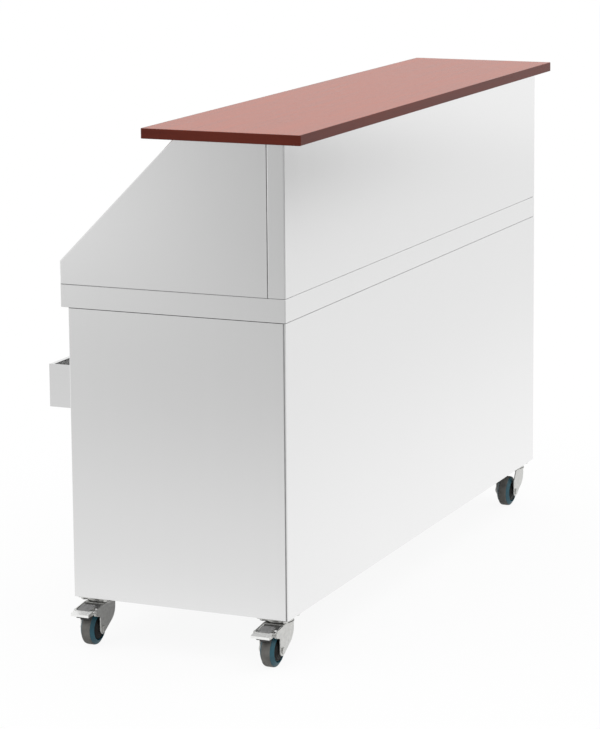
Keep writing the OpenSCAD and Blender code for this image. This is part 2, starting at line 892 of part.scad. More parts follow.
module hub() {
    half = wheel_w / 2;
    band_r = wheel_r - tread_drop - play;
    side = [
        [hub_r, hub_half], [hub_r, web_half], [rim_in, web_half], [rim_in, half], [band_r - band_drop, half],
        [band_r, tread_half], [tyre_in, tread_half]
    ];
    bore = axle_d / 2 + run_gap;
    other = [for (i = [len(side) - 1 : -1 : 0]) [side[i][0], -side[i][1]]];
    color(blue) on_axle() rotate_extrude()
        polygon(concat([[bore, hub_half]], side, other, [[bore, -hub_half]]));
}

module tyre() {
    edge = tread_half - tread_bevel;
    color(rubber) on_axle() rotate_extrude() polygon([
        [tyre_in, -tread_half], [wheel_r - tread_drop, -tread_half], [wheel_r, -edge],
        [wheel_r, edge], [wheel_r - tread_drop, tread_half], [tyre_in, tread_half]
    ]);
}

// Dished disc on each side of the wheel that keeps thread off the axle
module guards() {
    rim_y = wheel_w / 2 - guard_dip;
    hub_y = hub_half - guard_dip;
    color(dark) for (side = [0, 1]) mirror([0, side, 0]) on_axle() rotate_extrude()
        polygon([[hub_r, hub_y - guard_t], [guard_r, rim_y - guard_t], [guard_r, rim_y], [hub_r, hub_y]]);
}

// Brake

// Side view of the pedal plate: heel, bend, tread and a lip at the tip
module pedal_profile() {
    under = [0, -pedal_t];
    polygon([
        heel_at, bend_at, tip_at, tip_at - [0, pedal_lip], tip_at + [pedal_t, -pedal_lip],
        tip_at + [pedal_t, -pedal_t], bend_at + under, heel_at + under
    ]);
}

// Plan of the pedal plate: a narrow neck and a wide tread
module pedal_plan() {
    neck = pedal_neck_w / 2;
    wide = pedal_w / 2;
    bend_x = bend_at[0] - pedal_t;
    polygon([
        [heel_at[0], -neck], [heel_at[0], neck], [bend_x, neck], [bend_x, wide],
        [-pedal_reach, wide], [-pedal_reach, -wide], [bend_x, -wide], [bend_x, -neck]
    ]);
}

// Side view of a turned-down side of the tread, cut round the nose of the fork's arm
module pedal_side() {
    room = arm_nose + arm_room;
    back = pivot[0] - room / 2;
    low = tip_at[1] - pedal_lip;
    difference() {
        polygon([tip_at, bend_at, [back, bend_at[1]], [back, low], [tip_at[0], low]]);
        translate(pivot) circle(room);
    }
}

module pedal() {
    cheek_y = pedal_neck_w / 2;
    side_y = pedal_w / 2;
    color(zinc) {
        intersection() {
            fork_sheet_at(-pedal_w / 2, pedal_w / 2) pedal_profile();
            linear_extrude(caster_height) pedal_plan();
        }
        for (y = [-cheek_y, cheek_y - cheek_t]) fork_sheet_at(y, y + cheek_t) {
            translate(pivot) circle(cheek_r);
            polygon([
                tangent_point(heel_at, pivot, cheek_r, -1), heel_at, bend_at,
                tangent_point(bend_at, pivot, cheek_r, 1), pivot
            ]);
        }
        for (y = [-side_y, side_y - pedal_t]) fork_sheet_at(y, y + pedal_t) pedal_side();
        on_pivot() {
            cylinder(d = pivot_d, h = 2 * fork_out + 2 * play, center = true);
            for (side = [0, 1]) mirror([0, 0, side]) translate([0, 0, fork_out + play])
                cylinder(d = pivot_head_d, h = pivot_head_h);
        }
    }
}

// Brake shoe: a curved pad over the tyre, hung from the pedal's pivot pin
module shoe() {
    r0 = wheel_r + shoe_gap;
    r1 = r0 + shoe_t;
    pad = [for (i = [0 : shoe_steps]) shoe_from + (shoe_to - shoe_from) * i / shoe_steps];
    color(dark) difference() {
        union() {
            fork_sheet_at(-shoe_w / 2, shoe_w / 2) polygon(concat(
                [for (a = pad) axle + r0 * [cos(a), sin(a)]],
                [axle + r1 * [cos(shoe_to), sin(shoe_to)], pivot - [shoe_boss_r, 0]],
                [pivot + [shoe_boss_r, 0], axle + r1 * [cos(shoe_from), sin(shoe_from)]]
            ));
            on_pivot() cylinder(r = shoe_boss_r, h = shoe_w, center = true);
        }
        on_pivot() cylinder(d = pivot_d, h = shoe_w + 2 * overrun, center = true);
    }
}

module left_guest_fork() at_caster(0, 0) fork(true);
module left_service_fork() at_caster(0, 1) fork(true);
module right_guest_fork() at_caster(1, 0) fork(false);
module right_service_fork() at_caster(1, 1) fork(false);

module left_guest_axle() at_caster(0, 0) wheel_axle();
module left_service_axle() at_caster(0, 1) wheel_axle();
module right_guest_axle() at_caster(1, 0) wheel_axle();
module right_service_axle() at_caster(1, 1) wheel_axle();

module left_guest_hub() at_caster(0, 0) hub();
module left_service_hub() at_caster(0, 1) hub();
module right_guest_hub() at_caster(1, 0) hub();
module right_service_hub() at_caster(1, 1) hub();

module left_guest_tyre() at_caster(0, 0) tyre();
module left_service_tyre() at_caster(0, 1) tyre();
module right_guest_tyre() at_caster(1, 0) tyre();
module right_service_tyre() at_caster(1, 1) tyre();

module left_guest_guards() at_caster(0, 0) guards();
module left_service_guards() at_caster(0, 1) guards();
module right_guest_guards() at_caster(1, 0) guards();
module right_service_guards() at_caster(1, 1) guards();

module left_guest_pedal() at_caster(0, 0) pedal();
module left_service_pedal() at_caster(0, 1) pedal();

module left_guest_shoe() at_caster(0, 0) shoe();
module left_service_shoe() at_caster(0, 1) shoe();

bar_top_board();
bar_top_edging();
bar_top_screws();
riser_guest_panel();
riser_service_panel();
riser_stiffeners();
left_wing();
right_wing();
work_top();
guest_panel();
left_end_panel();
right_end_panel();
panel_seals();
base_deck();
base_channels();
corner_posts();
cross_bar();
mid_shelf();
shelf_cleats();
speed_rail();
rail_screws();
ice_bin_liner();
ice_bin_insulation();
ice_bin_jacket();
ice_grid();
lid_frame();
left_lid();
right_lid();
drain_fitting();
drain_valve_body();
drain_valve_plug();
drain_valve_lever();
caster_plates();
caster_bolts();
kingpins();
swivel_bearings();
left_guest_fork();
left_service_fork();
right_guest_fork();
right_service_fork();
left_guest_axle();
left_service_axle();
right_guest_axle();
right_service_axle();
left_guest_hub();
left_service_hub();
right_guest_hub();
right_service_hub();
left_guest_tyre();
left_service_tyre();
right_guest_tyre();
right_service_tyre();
left_guest_guards();
left_service_guards();
right_guest_guards();
right_service_guards();
left_guest_pedal();
left_service_pedal();
left_guest_shoe();
left_service_shoe();
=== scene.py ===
"""Finished look of a mobile bar unit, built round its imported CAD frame.

All lengths are metres in the frame's axes: X runs along the unit, Y from the guest face to the
operator side, and Z up from the floor. Every piece sits at the origin, with its place in its mesh.
"""

import logging
import math
from collections.abc import Mapping, Sequence
from dataclasses import dataclass, field
from enum import Enum

import bmesh
import bpy
import numpy as np
from mathutils import Matrix, Vector
from mathutils.geometry import tessellate_polygon


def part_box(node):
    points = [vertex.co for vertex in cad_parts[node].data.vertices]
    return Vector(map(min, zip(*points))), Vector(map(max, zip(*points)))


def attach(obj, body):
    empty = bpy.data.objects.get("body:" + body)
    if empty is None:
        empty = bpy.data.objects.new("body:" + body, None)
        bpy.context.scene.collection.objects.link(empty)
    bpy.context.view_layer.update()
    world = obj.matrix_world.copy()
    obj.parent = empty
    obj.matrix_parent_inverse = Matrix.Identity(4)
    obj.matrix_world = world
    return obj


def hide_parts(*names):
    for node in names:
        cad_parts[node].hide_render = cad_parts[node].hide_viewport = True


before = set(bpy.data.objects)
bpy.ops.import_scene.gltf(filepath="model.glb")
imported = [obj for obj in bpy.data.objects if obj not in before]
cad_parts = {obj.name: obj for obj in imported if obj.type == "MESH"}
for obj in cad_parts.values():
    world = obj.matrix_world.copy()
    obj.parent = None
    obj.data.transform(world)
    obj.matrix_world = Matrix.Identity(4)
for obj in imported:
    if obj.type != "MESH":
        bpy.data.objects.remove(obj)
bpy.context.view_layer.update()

LOG = logging.getLogger("mobile_bar_unit")
Array = np.ndarray
Point = tuple[float, float]
Colour = tuple[float, float, float]
CABINET = "cabinet"
CORNERS = ("left_guest", "left_service", "right_guest", "right_service")
BRAKED = CORNERS[:2]
WHITE = (1.0, 1.0, 1.0, 1.0)

# Points closer than these are one: in a new piece, and in a copy of a CAD node.
MERGE = 1e-7
WELD = 1e-6

# Angles between faces: sharp in a new piece, always smooth in a copy, one flat face, an edge to ease.
SHARP_DEG = 32
SMOOTH_DEG = 180
FLAT_DEG = 0.5
STEEP_DEG = 35

# Sockets of the Mix node for colours, and the middle value of a noise.
MIX_FIRST = 6
MIX_SECOND = 7
MIX_OUT = 2
NOISE_MIDDLE = 0.5


# Mesh kit


class Plane(Enum):
    """Plane that a flat outline is drawn in, and the axis that it is carried along."""

    PLAN = (0, 1, 2)
    SIDE = (1, 2, 0)
    FRONT = (0, 2, 1)

    def lift(self, flat: Array, depth: Array | float) -> Array:
        """Puts flat points at a depth along the carried axis.

        Args:
            flat: points in the plane, shape (..., 2).
            depth: one depth, or one for each point.

        Returns:
            Points in space, shape (..., 3).
        """
        out = np.empty(flat.shape[:-1] + (3,))
        out[..., list(self.value[:2])] = flat
        out[..., self.value[2]] = depth
        return out

    def carry(self, *places: tuple[Array, float]) -> Array:
        """Grid with one row for each line of flat points and its depth."""
        return np.stack([self.lift(line, depth) for line, depth in places])


def fillet(
    corners: Sequence, radii: float | Sequence[float], closed: bool = False, steps: int = 5
) -> tuple[Array, Array]:
    """Line through corner points, with an arc at each corner.

    Where the line turns by an angle a, an arc of radius r touches both legs at r tan(a / 2)
    from the corner, and its centre lies r to the inner side. The normal on the left of the
    first leg, turned step by step through a, gives the arc's points.

    Args:
        corners: corner points, shape (n, 2).
        radii: radius of the arcs, one for all or one for each corner.
        closed: whether the last corner joins the first; an open line keeps its two ends.
        steps: segments in each arc.

    Returns:
        The line's points, and the unit normal on the left of the line at each point.
    """
    points = np.asarray(corners, float)
    leg = np.diff(points, axis=0, append=points[:1])
    leg /= np.linalg.norm(leg, axis=1, keepdims=True)
    before = np.roll(leg, 1, axis=0)
    left = np.stack([-before[:, 1], before[:, 0]], 1)
    turn = np.arctan2((left * leg).sum(1), (before * leg).sum(1))
    radius = np.broadcast_to(np.asarray(radii, float), len(points))
    inner = np.sign(turn) * radius
    cut = radius * np.tan(np.abs(turn) / 2)
    centre = points - before * cut[:, None] + left * inner[:, None]
    angle = turn[:, None] * np.linspace(0, 1, steps + 1)
    cos, sin = np.cos(angle), np.sin(angle)
    normal = np.stack(
        [left[:, :1] * cos - left[:, 1:] * sin, left[:, :1] * sin + left[:, 1:] * cos], -1
    )
    line = centre[:, None, :] - inner[:, None, None] * normal
    if closed:
        return line.reshape(-1, 2), normal.reshape(-1, 2)
    line = np.concatenate([points[:1], line[1:-1].reshape(-1, 2), points[-1:]])
    normal = np.concatenate([left[1:2], normal[1:-1].reshape(-1, 2), left[-1:]])
    return line, normal


def loop(low: Sequence[float], high: Sequence[float], radius: float, steps: int = 5) -> Array:
    """Rectangle with round corners: four quarter circles, joined by straight sides.

    Args:
        low: lower corner in the plane.
        high: upper corner in the plane.
        radius: radius of the corners.
        steps: segments in each quarter.

    Returns:
        Points of the closed line, counter-clockwise.
    """
    quarter = np.linspace(0, math.pi / 2, steps + 1) + np.arange(4)[:, None] * math.pi / 2
    x0, y0 = np.asarray(low)[:2] + radius
    x1, y1 = np.asarray(high)[:2] - radius
    centre = np.array([[x1, y1], [x0, y1], [x0, y0], [x1, y0]])
    circle = np.stack([np.cos(quarter), np.sin(quarter)], -1)
    return (centre[:, None, :] + radius * circle).reshape(-1, 2)


def moulding(low: Array, high: Array, corner: float, profile: Array) -> Array:
    """Profile carried round a rectangle with round corners.

    Each profile point grows the rectangle, and its corner radius, by the point's first value,
    and sets the height by its second.

    Args:
        low: lower corner of the rectangle.
        high: upper corner of the rectangle.
        corner: corner radius where the profile's growth is zero.
        profile: growth and height of each point, shape (n, 2).

    Returns:
        A grid with one row for each profile point, closed round its columns.
    """
    rows = [(loop(low[:2] - grow, high[:2] + grow, corner + grow), z) for grow, z in profile]
    return Plane.PLAN.carry(*rows)


def turned(profile: Array, centre: Array, axis: int, steps: int = 72) -> Array:
    """Profile turned round an axis: a circle of the profile's radius at each of its places.

    Args:
        profile: radius and place along the axis of each point, shape (n, 2).
        centre: point on the axis where the place is zero.
        axis: index of the axis, 0 for X, 1 for Y and 2 for Z.
        steps: segments round the circle.

    Returns:
        A grid with one row for each profile point, closed round its columns.
    """
    angle = np.arange(steps) * 2 * math.pi / steps
    first, second = (axis + 1) % 3, (axis + 2) % 3
    out = np.empty((len(profile), steps, 3))
    out[..., first] = centre[first] + profile[:, :1] * np.cos(angle)
    out[..., second] = centre[second] + profile[:, :1] * np.sin(angle)
    out[..., axis] = centre[axis] + profile[:, 1:]
    return out


def ring(centre: Sequence[float], radius: float, steps: int = 32) -> tuple[Array, Array]:
    """Circle of a round hole or bar: clockwise points, and normals away from the centre.

    Args:
        centre: middle of the circle in the plane.
        radius: radius of the circle.
        steps: segments round the circle.

    Returns:
        The points, and the unit normal at each point, which leads into the material of a hole.
    """
    angle = -np.arange(steps) * 2 * math.pi / steps
    normal = np.stack([np.cos(angle), np.sin(angle)], 1)
    return np.asarray(centre) + radius * normal, normal


@dataclass
class Shell:
    """Closed surfaces of one piece in the making."""

    points: list[Array] = field(default_factory=list)
    faces: list[list[int]] = field(default_factory=list)
    tints: list[int] = field(default_factory=list)
    count: int = 0

    def grid(
        self,
        grid: Array,
        rows: bool = False,
        cols: bool = False,
        cap_rows: bool = False,
        cap_cols: bool = False,
        tint: Array | int = 0,
    ) -> "Shell":
        """Adds a grid of points with a face between each four neighbours.

        Args:
            grid: points, shape (rows, columns, 3).
            rows: whether the last row joins the first.
            cols: whether the last column joins the first.
            cap_rows: whether the first and last row are each closed by one face.
            cap_cols: whether the first and last column are each closed by one face.
            tint: material index of the faces, one for all or one for each row of faces.

        Returns:
            This shell.
        """
        high, wide = grid.shape[:2]
        index = self.count + np.arange(high * wide).reshape(high, wide)
        down = np.arange(high if rows else high - 1)
        along = np.arange(wide if cols else wide - 1)
        near = index[down]
        far = index[(down + 1) % high]
        step = (along + 1) % wide
        quads = np.stack([near[:, along], near[:, step], far[:, step], far[:, along]], -1)
        self.faces += quads.reshape(-1, 4).tolist()
        self.tints += np.repeat(np.broadcast_to(tint, len(down)), len(along)).tolist()
        caps = [index[0], index[-1]] if cap_rows else []
        caps += [index[:, 0], index[:, -1]] if cap_cols else []
        self.faces += [cap.tolist() for cap in caps]
        self.tints += [int(np.max(tint))] * len(caps)
        self.points.append(grid.reshape(-1, 3))
        self.count += high * wide
        return self

    def prism(self, outline: Array, plane: Plane, low: float, high: float, tint: int = 0) -> "Shell":
        """Adds a flat outline carried between two depths, with a face on each end."""
        return self.grid(plane.carry((outline, low), (outline, high)), cols=True, cap_rows=True, tint=tint)

    def strip(self, low: Sequence[float], high: Sequence[float], tint: int = 0) -> "Shell":
        """Adds a flat bar between two corners, as a rectangle carried along Z."""
        return self.prism(loop(low, high, 0, 1)[::2], Plane.PLAN, low[2], high[2], tint)

    def fold(
        self, corners: Sequence, thick: float, inside: float, plane: Plane, low: float, high: float
    ) -> "Shell":
        """Adds a sheet of even thickness, folded along a line of corners and carried along an axis.

        The corners lie on the sheet's right side. A fold to the left has the inside radius on the
        far side, so the near side has that radius plus the thickness; a fold to the right has it
        the other way round. The far side is the near side moved along its normals.

        Args:
            corners: corner points of the near side, shape (n, 2).
            thick: thickness of the sheet, laid on the left of the line.
            inside: inside radius of every fold.
            plane: plane that the corners are drawn in.
            low: where the sheet starts along the carried axis.
            high: where it ends.

        Returns:
            This shell.
        """
        points = np.asarray(corners, float)
        leg = np.diff(points, axis=0)
        turn = leg[:-1, 0] * leg[1:, 1] - leg[:-1, 1] * leg[1:, 0]
        radii = np.concatenate([[0], np.where(turn > 0, inside + thick, inside), [0]])
        line, normal = fillet(points, radii)
        back = line + thick * normal
        rows = plane.carry((line, low), (line, high), (back, high), (back, low))
        return self.grid(rows, rows=True, cap_cols=True)

    def tube(
        self, low: Sequence[float], high: Sequence[float], plane: Plane, wall: float, corner: float
    ) -> "Shell":
        """Adds a square tube with round corners.

        The outline and the same outline moved in by the wall are each carried along the axis.

        Args:
            low: lower corner of the tube's box.
            high: upper corner of the tube's box.
            plane: plane of the tube's cross section.
            wall: thickness of the tube's wall.
            corner: outer radius of the tube's corners.

        Returns:
            This shell.
        """
        flat, along = list(plane.value[:2]), plane.value[2]
        near, far = np.asarray(low)[flat], np.asarray(high)[flat]
        outer = loop(near, far, corner)
        inner = loop(near + wall, far - wall, max(corner - wall, wall / 4))
        ends = low[along], high[along]
        rows = plane.carry((outer, ends[0]), (outer, ends[1]), (inner, ends[1]), (inner, ends[0]))
        return self.grid(rows, rows=True, cols=True)

    def plate(
        self, outlines: Sequence[tuple[Array, Array]], plane: Plane, low: float, high: float, ease: float
    ) -> "Shell":
        """Adds a flat plate with holes and round edges.

        Each outline is carried along the axis, and near both flat faces it moves into the
        material along its normals on a quarter circle. Triangles fill the flat faces.

        Args:
            outlines: line and normals of the counter-clockwise outer edge, then of each hole.
            plane: plane of the plate.
            low: where the plate starts along the carried axis.
            high: where it ends.
            ease: radius of the round edges.

        Returns:
            This shell.
        """
        turn = np.linspace(0, math.pi / 2, 4)
        inset, depth = ease * (1 - np.sin(turn)), ease * (1 - np.cos(turn))
        depths = np.concatenate([low + depth, high - depth[::-1]])
        insets = np.concatenate([inset, inset[::-1]])
        near, far, flat = [], [], []
        for line, normal in outlines:
            rows = line[None] + insets[:, None, None] * normal[None]
            index = self.count + np.arange(len(insets) * len(line)).reshape(len(insets), -1)
            self.grid(plane.lift(rows, depths[:, None]), cols=True)
            near.append(index[0])
            far.append(index[-1])
            flat.append(np.pad(rows[0], ((0, 0), (0, 1))).tolist())
        fill = np.array(tessellate_polygon(flat))
        for index in (np.concatenate(near), np.concatenate(far)):
            self.faces += index[fill].tolist()
            self.tints += [0] * len(fill)
        return self

    def face(self, outline: Array) -> None:
        """Adds one flat face through the points of an outline in space.

        Args:
            outline: points of the face, shape (n, 3).
        """
        self.faces.append(list(range(self.count, self.count + len(outline))))
        self.tints.append(0)
        self.points.append(outline)
        self.count += len(outline)

    def build(self, name: str) -> bpy.types.Object:
        """Makes the object: doubles are merged, and faces point outwards.

        Args:
            name: name of the piece.

        Returns:
            The new object, linked to the scene.
        """
        mesh = bpy.data.meshes.new(name)
        mesh.from_pydata(np.concatenate(self.points).tolist(), [], self.faces)
        mesh.polygons.foreach_set("material_index", np.asarray(self.tints, np.int32))
        work = bmesh.new()
        work.from_mesh(mesh)
        bmesh.ops.remove_doubles(work, verts=work.verts, dist=MERGE)
        bmesh.ops.dissolve_degenerate(work, edges=work.edges, dist=MERGE)
        bmesh.ops.recalc_face_normals(work, faces=work.faces)
        work.to_mesh(mesh)
        work.free()
        obj = placed(name, mesh, SHARP_DEG)
        keep_flat(obj)
        return obj


def placed(name: str, mesh: bpy.types.Mesh, sharp_deg: float) -> bpy.types.Object:
    """Links a mesh to the scene as an object, smooth apart from its sharp edges.

    Args:
        name: name of the object.
        mesh: its mesh.
        sharp_deg: edges steeper than this stay sharp.

    Returns:
        The new object.
    """
    mesh.shade_smooth()
    mesh.set_sharp_from_angle(angle=math.radians(sharp_deg))
    obj = bpy.data.objects.new(name, mesh)
    bpy.context.scene.collection.objects.link(obj)
    return obj


def keep_flat(obj: bpy.types.Object) -> None:
    """Weights normals by face area, so that a flat face stays flat up to its rounded edge.

    Args:
        obj: the object that gets the modifier.
    """
    weigh = obj.modifiers.new("flat_faces", "WEIGHTED_NORMAL")
    weigh.mode = "FACE_AREA"
    weigh.weight = 100
    weigh.keep_sharp = True


def eased(node: str, name: str, width: float, segments: int = 2) -> bpy.types.Object:
    """Copy of a CAD node with eased edges.

    The copy's loose triangles are merged, its flat faces made whole, and a Bevel rounds each
    edge that is steeper than the facets of a round face.

    Args:
        node: name of the CAD node.
        name: name of the new piece.
        width: width of the rounding.
        segments: segments across the rounding.

    Returns:
        The new object.
    """
    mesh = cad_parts[node].data.copy()
    mesh.name = name
    mesh.materials.clear()
    work = bmesh.new()
    work.from_mesh(mesh)
    bmesh.ops.remove_doubles(work, verts=work.verts, dist=WELD)
    flat = math.radians(FLAT_DEG)
    bmesh.ops.dissolve_limit(work, angle_limit=flat, verts=work.verts, edges=work.edges)
    work.to_mesh(mesh)
    work.free()
    obj = placed(name, mesh, SMOOTH_DEG)
    bevel = obj.modifiers.new("eased_edges", "BEVEL")
    bevel.width = width
    bevel.segments = segments
    bevel.limit_method = "ANGLE"
    bevel.angle_limit = math.radians(STEEP_DEG)
    keep_flat(obj)
    return obj


def box_of(node: str) -> tuple[Array, Array]:
    """Lowest and highest corner of a CAD node as arrays."""
    low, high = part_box(node)
    return np.array(low), np.array(high)


# Shader kit


@dataclass(frozen=True, eq=False)
class Wire:
    """A shader socket that takes part in Python sums, and the board that they are added to."""

    board: "Board"
    socket: bpy.types.NodeSocket

    def math(self, operation: str, first: "Wire | float", second: "Wire | float") -> "Wire":
        """Adds a Math node for an operation on two values."""
        return self.board.node("ShaderNodeMath", {"operation": operation}, {0: first, 1: second})

    def __add__(self, other: "Wire | float") -> "Wire":
        """Sum of two values."""
        return self.math("ADD", self, other)

    __radd__ = __add__

    def __sub__(self, other: "Wire | float") -> "Wire":
        """Difference of two values."""
        return self.math("SUBTRACT", self, other)

    def __rsub__(self, other: float) -> "Wire":
        """Difference from a number."""
        return self.math("SUBTRACT", other, self)

    def __mul__(self, other: "Wire | float") -> "Wire":
        """Product of two values."""
        return self.math("MULTIPLY", self, other)

    __rmul__ = __mul__

    def __neg__(self) -> "Wire":
        """Value with its sign turned."""
        return self.math("MULTIPLY", self, -1.0)

    def __abs__(self) -> "Wire":
        """Size of a value without its sign."""
        return self.math("ABSOLUTE", self, 0.0)

    def most(self, other: "Wire | float") -> "Wire":
        """Larger of two values."""
        return self.math("MAXIMUM", self, other)

    def above(self, edge: float, width: float) -> "Wire":
        """Smooth step from 0 to 1 as the value passes an edge."""
        feeds = {"Value": self, "From Min": edge - width / 2, "From Max": edge + width / 2}
        return self.board.node("ShaderNodeMapRange", {"interpolation_type": "SMOOTHSTEP"}, feeds)


class Board:
    """Node tree of one material or of the world."""

    def __init__(self, tree: bpy.types.NodeTree) -> None:
        """Starts from an empty tree."""
        self.tree = tree
        self.tree.nodes.clear()

    def node(
        self, kind: str, settings: Mapping | None = None, feeds: Mapping | None = None, out: str | int = 0
    ) -> Wire:
        """Adds a node, sets it up and feeds its sockets.

        Args:
            kind: the node's type.
            settings: the node's own settings.
            feeds: values or wires by socket name or index.
            out: the output that is used.

        Returns:
            The output as a wire.
        """
        made = self.tree.nodes.new(kind)
        for key, value in (settings or {}).items():
            setattr(made, key, value)
        for key, value in (feeds or {}).items():
            if isinstance(value, Wire):
                self.tree.links.new(value.socket, made.inputs[key])
            else:
                made.inputs[key].default_value = value
        return Wire(self, made.outputs[out] if len(made.outputs) else made.inputs[0])

    def place(self) -> Wire:
        """Object coordinates, which are the frame's metres."""
        return self.node("ShaderNodeTexCoord", out="Object")

    def parts(self, vector: Wire) -> tuple[Wire, ...]:
        """The three values of a vector."""
        outputs = self.node("ShaderNodeSeparateXYZ", feeds={0: vector}).socket.node.outputs
        return tuple(Wire(self, output) for output in outputs)

    def vector_sum(self, operation: str, first: Wire, second: Wire | Sequence[float]) -> Wire:
        """Adds a Vector Math node for an operation on two vectors."""
        return self.node("ShaderNodeVectorMath", {"operation": operation}, {0: first, 1: second})

    def noise(self, vector: Wire, scale: Sequence[float], detail: float = 2.0, grit: float = 0.5) -> Wire:
        """Soft noise between 0 and 1, with its own frequency along each axis.

        Args:
            vector: coordinates that the noise reads.
            scale: frequency along each axis.
            detail: number of finer octaves.
            grit: strength of the finer octaves.

        Returns:
            The noise.
        """
        stretched = self.vector_sum("MULTIPLY", vector, scale)
        feeds = {"Vector": stretched, "Scale": 1.0, "Detail": detail, "Roughness": grit}
        return self.node("ShaderNodeTexNoise", {"noise_dimensions": "3D"}, feeds, out="Fac")

    def mix(self, factor: Wire | float, first: Colour, second: Colour) -> Wire:
        """Colour between two colours."""
        feeds = {0: factor, MIX_FIRST: (*first, 1.0), MIX_SECOND: (*second, 1.0)}
        return self.node("ShaderNodeMix", {"data_type": "RGBA", "clamp_factor": True}, feeds, MIX_OUT)

    def bump(self, height: Wire, strength: float, depth: float) -> Wire:
        """Normal that a height gives."""
        feeds = {"Height": height, "Strength": strength, "Distance": depth}
        return self.node("ShaderNodeBump", feeds=feeds, out="Normal")


# Finishes


class Grain(Enum):
    """Direction of a brushed or wooden grain."""

    ALONG_X = 0
    ALONG_Z = 2

    def frequency(self, across: float, along: float) -> list[float]:
        """Noise frequency along each axis, with its own value along the grain."""
        return [along if axis == self.value else across for axis in range(3)]


@dataclass(frozen=True)
class Layer:
    """One noise of a finish: its frequencies, and how far it moves the tone and the roughness."""

    across: float
    along: float
    tone: float
    rough: float
    detail: float = 2.0
    grit: float = 0.5


@dataclass(frozen=True)
class Finish:
    """A surface finish: two colours mixed by noises, the first of which is also the relief."""

    name: str
    dark: Colour
    light: Colour
    rough: float = 0.18
    layers: tuple[Layer, ...] = ()
    middle: float = 0.5
    metal: float = 0.0
    gloss: float = 0.5
    relief: float = 0.1
    depth: float = 0.0003
    grain: Grain = Grain.ALONG_X

    def material(self) -> bpy.types.Material:
        """Finds the finish's material, or makes it on first use.

        Returns:
            The material.
        """
        found = bpy.data.materials.get(self.name)
        if found:
            return found
        made = bpy.data.materials.new(self.name)
        made.use_nodes = True
        self.paint(Board(made.node_tree))
        return made

    def place(self, board: Board) -> Wire:
        """Coordinates that the noises read."""
        return board.place()

    def paint(self, board: Board) -> None:
        """Adds the nodes: tone and roughness are a middle value plus each noise times its weight.

        Args:
            board: node tree of the new material.
        """
        place = self.place(board)
        tone: Wire | float = self.middle
        rough: Wire | float = self.rough
        noises = []
        for layer in self.layers:
            scale = self.grain.frequency(layer.across, layer.along)
            noise = board.noise(place, scale, layer.detail, layer.grit) - NOISE_MIDDLE
            tone = noise * layer.tone + tone
            rough = noise * layer.rough + rough
            noises.append(noise)
        feeds = {
            "Base Color": board.mix(tone, self.dark, self.light),
            "Metallic": self.metal,
            "Roughness": rough,
            "Specular IOR Level": self.gloss,
            "Normal": board.bump(noises[0], self.relief, self.depth),
        }
        shader = board.node("ShaderNodeBsdfPrincipled", feeds=feeds, out="BSDF")
        board.node("ShaderNodeOutputMaterial", feeds={"Surface": shader})


@dataclass(frozen=True)
class BrushedSteel(Finish):
    """Stainless sheet with brushed hairlines, faint bands and hand-dulled clouds."""

    layers: tuple[Layer, ...] = (
        Layer(2600.0, 22.0, tone=0.8, rough=0.08, grit=0.6),
        Layer(90.0, 1.6, tone=0.48, rough=0.03, detail=3.0, grit=0.6),
        Layer(3.1, 3.1, tone=0.32, rough=0.05, detail=3.0),
    )
    metal: float = 1.0
    relief: float = 0.035
    depth: float = 0.0004
    grain: Grain = Grain.ALONG_Z


@dataclass(frozen=True)
class Plated(Finish):
    """Plated or cast metal with fine spots and a soft mottle."""

    layers: tuple[Layer, ...] = (
        Layer(1400.0, 1400.0, tone=0.5, rough=0.2),
        Layer(160.0, 160.0, tone=1.5, rough=0.16, detail=4.0, grit=0.6),
    )
    middle: float = 0.68
    metal: float = 1.0
    relief: float = 0.12
    depth: float = 0.0002


def dusty(grain: float) -> tuple[Layer, Layer]:
    """Fine grain of a moulded surface, and soft patches of dust on it."""
    fine = Layer(grain, grain, tone=0.8, rough=0.2, detail=3.0, grit=0.6)
    return fine, Layer(55.0, 55.0, tone=1.4, rough=0.14, detail=3.0)


@dataclass(frozen=True)
class Moulded(Finish):
    """Rubber, plastic, paint or foam with a fine texture and some dust."""

    layers: tuple[Layer, ...] = dusty(1800.0)
    middle: float = 0.3
    relief: float = 0.2


@dataclass(frozen=True)
class BarWood(Finish):
    """Mahogany laminate with fine pores and a long, wandering figure under a satin lacquer."""

    layers: tuple[Layer, ...] = (
        Layer(1500.0, 26.0, tone=0.7, rough=0.16),
        Layer(58.0, 2.2, tone=1.7, rough=0.08, detail=5.0, grit=0.62),
    )
    ends_turn: bool = False
    # Edge and width of the step in the normal's X, past which a face is an end.
    end_face: tuple[float, float] = (0.5, 0.2)
    # Frequency of the sway across and along the grain, and its size.
    wander: tuple[float, float] = (5.0, 1.3)
    sway: float = 0.05

    def place(self, board: Board) -> Wire:
        """Coordinates whose Y sways along the grain; on an edging the grain follows each side.

        Args:
            board: node tree of the new material.

        Returns:
            The coordinates.
        """
        place = board.place()
        if self.ends_turn:
            normal = board.node("ShaderNodeNewGeometry", out="Normal")
            end = abs(board.parts(normal)[0]).above(*self.end_face)
            x, y, z = board.parts(place)
            turned_parts = {0: x * (1 - end) + y * end, 1: y * (1 - end), 2: z}
            place = board.node("ShaderNodeCombineXYZ", feeds=turned_parts)
        wander = board.noise(place, self.grain.frequency(*self.wander))
        sway = board.node("ShaderNodeCombineXYZ", feeds={1: (wander - NOISE_MIDDLE) * self.sway})
        return board.vector_sum("ADD", place, sway)


def grey(level: float) -> Colour:
    """Colour with three equal values."""
    return level, level, level


